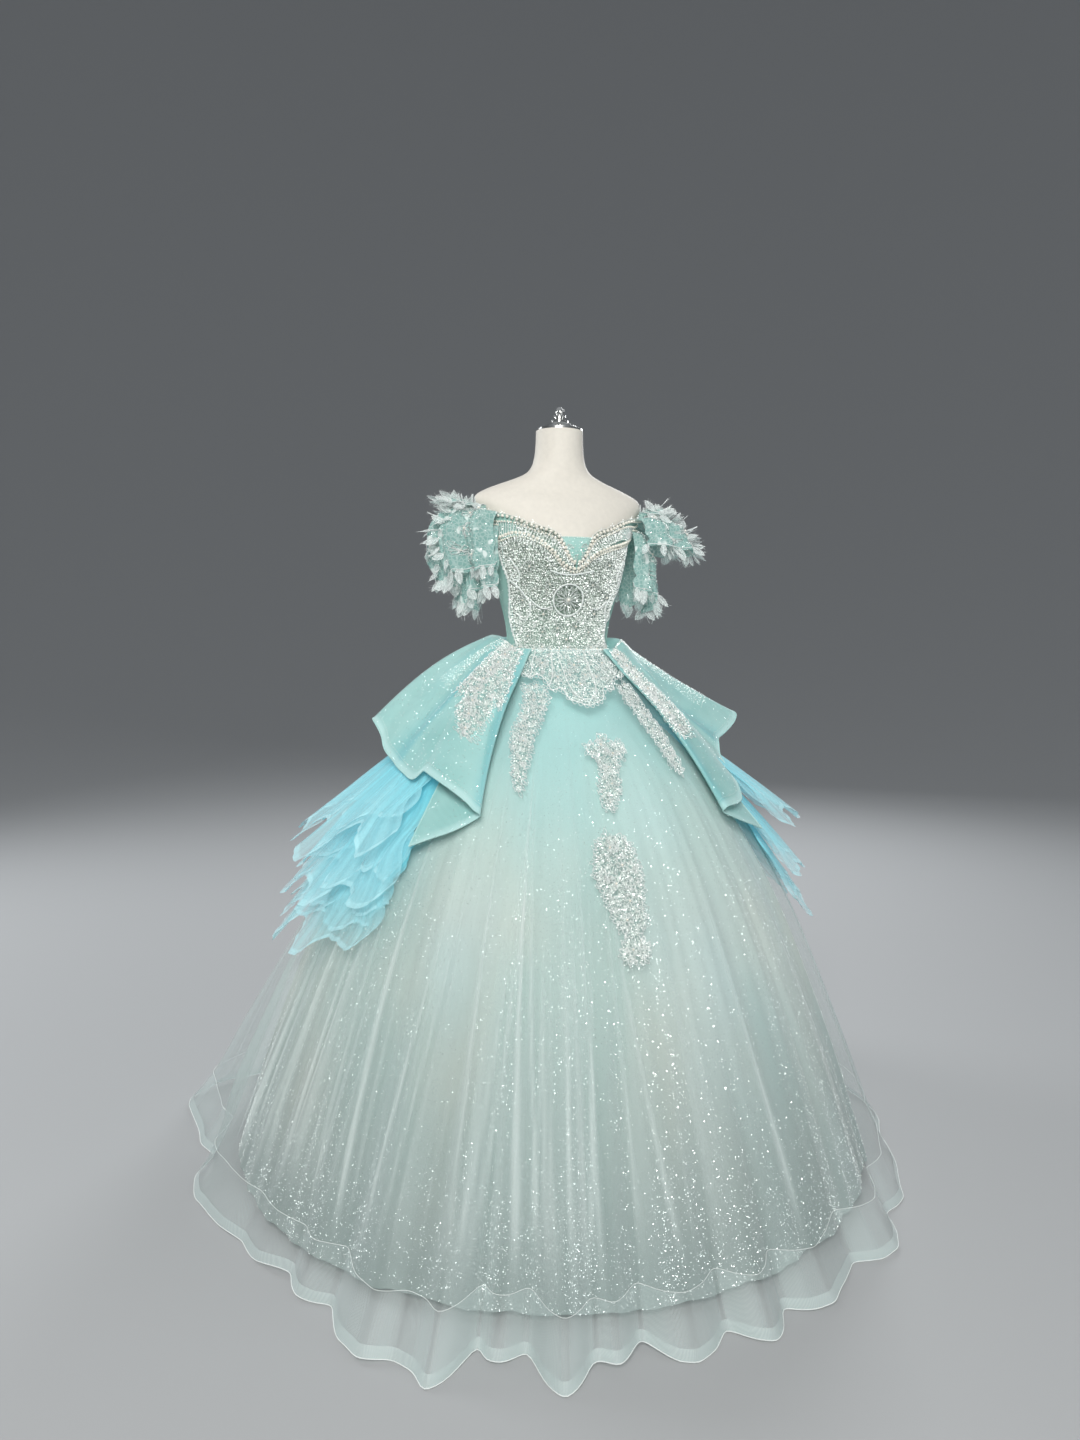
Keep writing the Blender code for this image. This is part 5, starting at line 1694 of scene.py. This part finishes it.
def skirt_spot(azimuth, height):
    middle = np.interp(height, OVERLAY.heights, OVERLAY.radii.min(axis=1))
    return math.radians(azimuth) * middle, height


def strip_sides(strip):
    """Both long sides of a strip's net, which stops short of its table by the leaves' reach."""
    left, right = [], []
    for height, azimuth, half in zip(*(strip[key] for key in ("height", "azimuth",
                                                              "half_width"))):
        half = max(half - LEAF_MARGIN, 0.003)
        x, y = skirt_spot(azimuth, height)
        left.append((x - half, y))
        right.append((x + half, y))
    return np.array(left), np.array(right)


def make_strip(name, strip, node, seed):
    """A lace motif down the skirt: net, two scalloped sides, flowers, leaves and beads."""
    lace = Lace(name, on_overlay, seed)
    left, right = (smooth_line(side, 0.006) for side in strip_sides(strip))
    outline = np.concatenate([left, right[::-1]])
    piece = lace.net(outline, LACE)
    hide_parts(node)
    lace.fill(outline, 0.0054, 0.0013, 0.4)
    lace.loops(outline, 0.0085, 0.0034)
    for line, out in ((left, -1.3), (right, 1.3)):
        lace.cord(scalloped(line, 0.0105, out), 0.0008)
        lace.row(line, 0.0056, 0.0016)
    lace.leafed(outline, 0.0090, 0.0105)
    turn = 1.0
    for (x1, y1), (x2, y2) in zip(smooth_line(left, 0.030), smooth_line(right, 0.030)):
        width = x2 - x1
        if width > 0.022:
            size = min(0.012, width * 0.22)
            lace.flower((x1 + x2) / 2 + turn * width * 0.12, (y1 + y2) / 2, size, 6, y1 * 4000)
            for reach in (-0.33, 0.33):
                lace.leaf((x1 + x2) / 2 + reach * width, (y1 + y2) / 2 - 0.010, 0.012,
                          90.0 - 110.0 * np.sign(reach) * turn)
        turn = -turn
    lace.make()


def make_basque():
    """The lace point below the waist: net, a scalloped edge, cords, flowers and beads."""
    lace = Lace("basque_lace", on_overlay, 51)
    low = np.array([skirt_spot(a, z) for a, z in zip(BASQUE["azimuth"], BASQUE["bottom"])])
    low = smooth_line(low, 0.006)
    top = np.array([skirt_spot(a, BASQUE_TOP) for a in np.linspace(46.0, -48.0, 24)])
    outline = np.concatenate([low, top])
    piece = lace.net(outline, LACE)
    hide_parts("basque")
    lace.fill(outline, 0.0048, 0.0014, 0.3)
    lace.loops(outline, 0.011, 0.0036)
    lace.cord(low, 0.0013)
    lace.cord(scalloped(low, 0.012, -1.0), 0.0009)
    lace.row(low, 0.0050, 0.0018)
    lace.row(top, 0.0050, 0.0018)
    for line in BASQUE_CORDS:
        lace.cord([skirt_spot(*spot) for spot in line], 0.0015)
    for azimuth, height, size in BASQUE_FLOWERS:
        lace.flower(*skirt_spot(azimuth, height), size, 7, azimuth * 9.0)
    lace.make()


make_basque()
for side in SIDES:
    make_strip("tail_lace_" + side, TAILS[side], "basque_tail_" + side, 61)
make_strip("motif_upper", APPLIQUES["applique_upper"], "applique_upper", 62)
make_strip("motif_lower", APPLIQUES["applique_lower"], "applique_lower", 63)


# ---- sleeves ----
def flounce_sheet(name, row, side, columns=130, rows=28):
    """A flounce from the band out along its profile, with soft folds and a scalloped edge."""
    sign = SIDES[side]
    along = np.linspace(0.0, 1.0, columns)[None]
    share = np.linspace(0.0, 1.0, rows)[:, None]
    angle = row["start"] + (row["end"] - row["start"]) * along
    profile = FLOUNCE_PROFILES[f"{name}_{side}"]
    keys = np.arange(len(profile["out"]))
    out, rise = (curve(share * keys[-1], keys, profile[key]) for key in ("out", "rise"))
    spread = FLOUNCE_END_REACH + (1.0 - FLOUNCE_END_REACH) * np.sin(math.pi * along)
    phase = 2 * math.pi * SLEEVE_WAVES * along + len(name)
    wave = SLEEVE_WAVE * share * (np.sin(phase) + 0.35 * np.sin(2.3 * phase + 1.0))
    small = 0.0022 * ripple(along * 360.0, (17, 23, 31), len(name)) * soft(0.05, 0.5, share)
    skewed = along * 360.0 + 60.0 * np.sin(3.0 * share + 2.0 * math.pi * along)
    small = small + 0.0060 * ripple(skewed, (5, 8, 13), 7) * soft(0.1, 0.6, share)
    scallop = 0.008 * np.abs(np.sin(math.pi * row["points"] * along)) * share**6
    reach = BAND_OFFSET + 2 * WALL + row["root"] + out * spread + wave + small
    root = on_form(sign * angle, band_top(angle) - row["top"])
    outward = units(np.stack(np.broadcast_arrays(
        sign * np.sin(np.radians(angle)), -FLOUNCE_FRONT_REACH * np.cos(np.radians(angle)),
        0.0), axis=-1))
    points = root + outward * reach[..., None]
    tilt = 0.10 * np.cos(2 * phase / 4.0 + 0.6) * share
    ends = FLOUNCE_END_FALL + (1.0 - FLOUNCE_END_FALL) * np.sin(math.pi * along) ** 0.5
    points[..., 2] = band_top(angle) - row["top"] + rise * ends * (1.0 + tilt)
    points[..., 2] += scallop * np.sign(-rise[-1])
    return points if sign > 0 else points[:, ::-1]


def leaf_parts(root, along, across, out, length, width, rng):
    """A lace leaf: its net blade, its corded edge and vein, and its eyelash threads."""
    t = np.linspace(0.0, 1.0, 7)
    half = width / 2 * np.sin(math.pi * t**0.85) ** 0.8
    half[-1] = 0.0
    bend = out * (0.25 * length * t**2)[:, None]
    spine = root + along * (length * t)[:, None] + bend
    left, right = spine - across * half[:, None], spine + across * half[:, None]
    blade = np.stack([left, spine, right], axis=1).reshape(-1, 3), grid_faces(7, 3)
    edge = np.concatenate([left, right[-2::-1]])
    cords = [tube(edge, 0.00065, 3), tube(spine, 0.0005, 3)]
    lashes = []
    for side, line in ((-1.0, left), (1.0, right)):
        for k in range(1, 6):
            swing = side * rng.uniform(0.5, 1.0)
            tip = line[k] + (across * swing + along * rng.uniform(0.3, 1.0)
                             + out * rng.uniform(-0.4, 0.4)) * rng.uniform(*LASH_LENGTHS)
            lashes.append(tube(np.array([line[k], tip]), np.array([0.00035, 0.0001]), 3))
    return blade, cords + lashes


def leaf_edge(name, sheet, spots):
    """Lace leaves at spots of a sheet: u, v, turn from straight down, length, lift."""
    rng = np.random.default_rng(len(name) * 13)
    blades, cords = [], []
    for u, v, turn, length, lift in spots:
        root = sheet.at(u, v, 0.0004)
        down = units(sheet.at(u, min(v + 0.02, 1.0)) - sheet.at(u, min(v + 0.02, 1.0) - 0.08))
        side = units(sheet.at(min(u + 0.02, 1.0), v) - sheet.at(min(u + 0.02, 1.0) - 0.04, v))
        out = units(np.cross(down, side))
        c, s = heading(turn)
        along = units(down * c + side * s + out * lift)
        across = units(np.cross(out, along))
        blade, lines = leaf_parts(root, along, across, np.cross(along, across), length,
                                  length * rng.uniform(0.42, 0.55), rng)
        blades.append(blade)
        cords += lines
    make_piece(name + "_leaves", *joined(blades), LEAF_NET, "lace_flounce")
    make_piece(name + "_threads", *joined(cords), THREAD, "lace_flounce")


def make_sleeve(side):
    """A frill and two flounces with their net leaves, flowers, beads and stray threads."""
    rng = np.random.default_rng(71 if side == "l" else 72)
    sheets = {}
    for number, name in enumerate(("sleeve_frill", "sleeve_upper", "sleeve_lower")):
        row = {key: values[number] for key, values in FLOUNCES.items()}
        points = flounce_sheet(name, row, side)
        piece = add_cloth(f"{name.replace('sleeve', 'flounce')}_{side}", points, FLOUNCE,
                          "lace_flounce")
        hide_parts(f"{name}_{side}")
        sheets[name] = sheet = Sheet(points)
        edge = np.linalg.norm(np.diff(points[-1], axis=0), axis=1).sum()
        count = int(edge / EDGE_LEAF_GAP)
        spots = [((k + rng.uniform(0.2, 0.8)) / count, LEAF_ROOT, rng.normal(0.0, 22.0),
                  rng.uniform(*LEAF_LENGTHS), rng.uniform(-0.15, 0.45)) for k in range(count)]
        leaf_edge(f"{name.replace('sleeve', 'edge')}_{side}", sheet, spots)
        make_piece(f"{name.replace('sleeve', 'edging')}_{side}",
                   *tube(sheet.at(np.linspace(0.0, 1.0, 90), 0.965, 0.001), 0.0009, 4),
                   THREAD, "lace_flounce")

    spots = []
    for v in np.linspace(0.04, 0.95, 15):
        for u in (0.40, 0.52, 0.66):
            spots.append((u + rng.normal(0.0, 0.03), v, rng.normal(0.0, 50.0),
                          rng.uniform(*LEAF_LENGTHS), rng.uniform(0.5, 1.2)))
    leaf_edge("rim_" + side, sheets["sleeve_upper"], spots)

    for part, width, length, blooms in SLEEVE_LACE:
        def surface(x, y, lift, sheet=sheets["sleeve_" + part], width=width, length=length):
            return sheet.at(np.asarray(x) / width, -np.asarray(y) / length, lift)

        lace = Lace(f"sleeve_lace_{part}_{side}", surface, 73)
        for _ in range(blooms):
            x, y = rng.uniform(0.12, 0.88) * width, -rng.uniform(0.22, 0.86) * length
            lace.flower(x, y, rng.uniform(0.010, 0.015), 6, rng.uniform(0.0, 90.0))
            for turn in (rng.uniform(0.0, 180.0), rng.uniform(180.0, 360.0)):
                lace.leaf(x, y, rng.uniform(0.014, 0.020), turn)
        lace.row([(0.02 * width, -0.012), (0.5 * width, -0.012), (0.98 * width, -0.012)],
                 0.0058, 0.0022, pearls=True)
        corners = [(0.04 * width, -0.02), (0.96 * width, -0.02),
                   (0.96 * width, -0.93 * length), (0.04 * width, -0.93 * length)]
        lace.fill(corners, 0.0095, 0.0011)
        lace.make("lace_flounce")

    lower = sheets["sleeve_lower"]
    strays = []
    for _ in range(STRAY_COUNT):
        root = lower.at(rng.uniform(0.1, 0.9), LEAF_ROOT)
        drop = rng.uniform(*STRAY_DROPS)
        t = np.linspace(0.0, 1.0, 6)[:, None]
        sway = rng.normal(0.0, 0.006, 3) * (1.0, 1.0, 0.0)
        strays.append(tube(root + t * (0.0, 0.0, -drop) + t**2 * sway, 0.0003, 3))
    make_piece("stray_threads_" + side, *joined(strays), THREAD, "lace_flounce")


for side in SIDES:
    make_sleeve(side)


# ---- lace on the hip drapes ----
# Outlines by the place along the drape's table and the share down it.
DRAPE_LACE = {
    "l": ((14.0, 0.02), (13.9, 0.16), (13.6, 0.31), (13.2, 0.42), (12.7, 0.49), (13.5, 0.51),
          (14.5, 0.52), (14.3, 0.61), (15.2, 0.67), (15.8, 0.73), (16.3, 0.71), (16.7, 0.60),
          (17.0, 0.50), (16.6, 0.40), (17.2, 0.44), (17.9, 0.42), (18.0, 0.30), (17.2, 0.16),
          (17.1, 0.02)),
    "r": ((15.4, 0.02), (15.5, 0.14), (15.6, 0.29), (15.7, 0.42), (15.5, 0.52), (16.6, 0.60),
          (18.2, 0.60), (19.2, 0.54), (19.1, 0.42), (19.0, 0.28), (18.4, 0.14), (17.6, 0.02)),
}
DRAPE_LACE_MIDDLE = {
    "l": ((15.5, 0.06), (15.4, 0.22), (15.2, 0.36), (15.4, 0.50), (15.9, 0.68)),
    "r": ((16.5, 0.06), (17.2, 0.22), (17.4, 0.36), (17.4, 0.54)),
}
DRAPE_TOP_ROWS = {
    "l": ((13.4, 0.03), (12.6, 0.08), (11.1, 0.20), (10.3, 0.35), (9.8, 0.51)),
    "r": ((12.4, 0.03), (11.6, 0.06), (8.8, 0.31), (8.4, 0.56), (8.3, 0.76)),
}
# A column's width and a drape's fall in metres, which turn its places into lace places.
DRAPE_COLUMN, DRAPE_LENGTH = 0.024, 0.385
TOP_ROWS_WIDTH, TOP_ROWS_GAP = 0.034, 0.0048
STREWN_BEADS = 180


def on_drape(side):
    last = len(PEPLUMS[side]["waist"]) - 1

    def surface(x, y, lift):
        u = np.asarray(x) / DRAPE_COLUMN / last
        v = np.interp(-np.asarray(y) / DRAPE_LENGTH, DRAPE_SHARES,
                      np.linspace(0.0, 1.0, len(DRAPE_SHARES)))
        return DRAPE_SHEETS[side].at(u if side == "l" else 1.0 - u, v, lift)

    return surface


def make_drape_lace(side):
    """The beaded lace on a hip drape, and the strewn beads round it."""
    lace = Lace("drape_lace_" + side, on_drape(side), 81)
    lace.sewn_on = "drape_" + side
    scale = (DRAPE_COLUMN, -DRAPE_LENGTH)
    outline = np.array(DRAPE_LACE[side]) * scale
    piece = lace.net(outline, LACE)
    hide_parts("peplum_lace_" + side)
    lace.fill(outline, 0.0052, 0.0013, 0.4)
    lace.loops(outline, 0.0095, 0.0034)
    edge = smooth_line(outline, 0.006)
    lace.row(edge, 0.0056, 0.0016)
    lace.leafed(outline, 0.0095, 0.0105)
    top = np.array(DRAPE_TOP_ROWS[side]) * scale
    for shift in np.arange(0.0, TOP_ROWS_WIDTH, TOP_ROWS_GAP):
        line = smooth_line(top + (shift, 0.0), 0.0052)
        line = line + lace.rng.normal(0.0, 0.0014, line.shape)
        lace.beads += [(x, y, lace.rng.uniform(0.0008, 0.0015)) for x, y in line]
    middle = smooth_line(np.array(DRAPE_LACE_MIDDLE[side]) * scale, 0.028)
    for number, (x, y) in enumerate(middle):
        lace.flower(x, y, 0.012, 6, 40.0 * number)
        for turn in (20.0, 160.0, 250.0):
            lace.leaf(x, y - 0.006, 0.016, turn + 9.0 * number)
    for _ in range(STREWN_BEADS):
        x = lace.rng.uniform(8.5, 18.0) * DRAPE_COLUMN
        lace.beads.append((x, -lace.rng.uniform(0.2, 0.97) * DRAPE_LENGTH, 0.0007))
    lace.make()


for side in SIDES:
    make_drape_lace(side)


# ---- the cloth's cuts ----
# Each sheet's cut before it was sewn: width, length and area in metres, how it is held, and
# what it rests on. A star stands for either side.
CUTS = (
    ("skirt_glitter", 4.53, 1.29, 3.90, "gathered", "form_body"),
    ("skirt_tulle", 5.45, 1.27, 4.25, "gathered", "skirt_glitter"),
    ("hem_net", 6.00, 0.095, 0.57, "hung", "skirt_tulle"),
    ("drape_l", 1.24, 0.52, 0.30, "draped", "skirt_tulle"),
    ("drape_r", 1.27, 0.52, 0.30, "draped", "skirt_tulle"),
    ("flounce_frill_*", 0.48, 0.066, 0.0120, "gathered", "band_*"),
    ("flounce_upper_l", 0.58, 0.205, 0.080, "gathered", "band_l"),
    ("flounce_upper_r", 0.61, 0.160, 0.056, "gathered", "band_r"),
    ("flounce_lower_*", 0.54, 0.180, 0.064, "gathered", "band_*"),
    ("band_*", 0.53, 0.060, 0.0195, "stretched", "panel_front"),
    ("panel_front", 0.40, 0.250, 0.070, "stretched", "form_body"),
    ("panel_side_*", 0.090, 0.245, 0.0185, "stretched", "form_body"),
    ("panel_back_*", 0.165, 0.225, 0.0295, "stretched", "form_body"),
    ("neck_insert", 0.110, 0.080, 0.0085, "stretched", "form_body"),
    ("button_placket", 0.042, 0.185, 0.0068, "stretched", "panel_back_l"),
)
# The tulle layers' cuts, by tier and layer: flared strips with handkerchief points.
FRILL_CUTS = {
    "low": ((1.80, 0.29, 0.36), (1.72, 0.25, 0.30), (1.70, 0.20, 0.235)),
    "mid": ((1.65, 0.36, 0.37), (1.61, 0.305, 0.30), (1.54, 0.245, 0.23)),
    "top": ((1.88, 0.35, 0.31), (1.53, 0.285, 0.24), (1.43, 0.225, 0.18)),
}


def declare_cloth():
    rows = list(CUTS)
    for tier, cuts in FRILL_CUTS.items():
        rows += [(f"frill_{tier}_*_{number}", *cut, "gathered", "skirt_tulle")
                 for number, cut in enumerate(cuts, 1)]


declare_cloth()
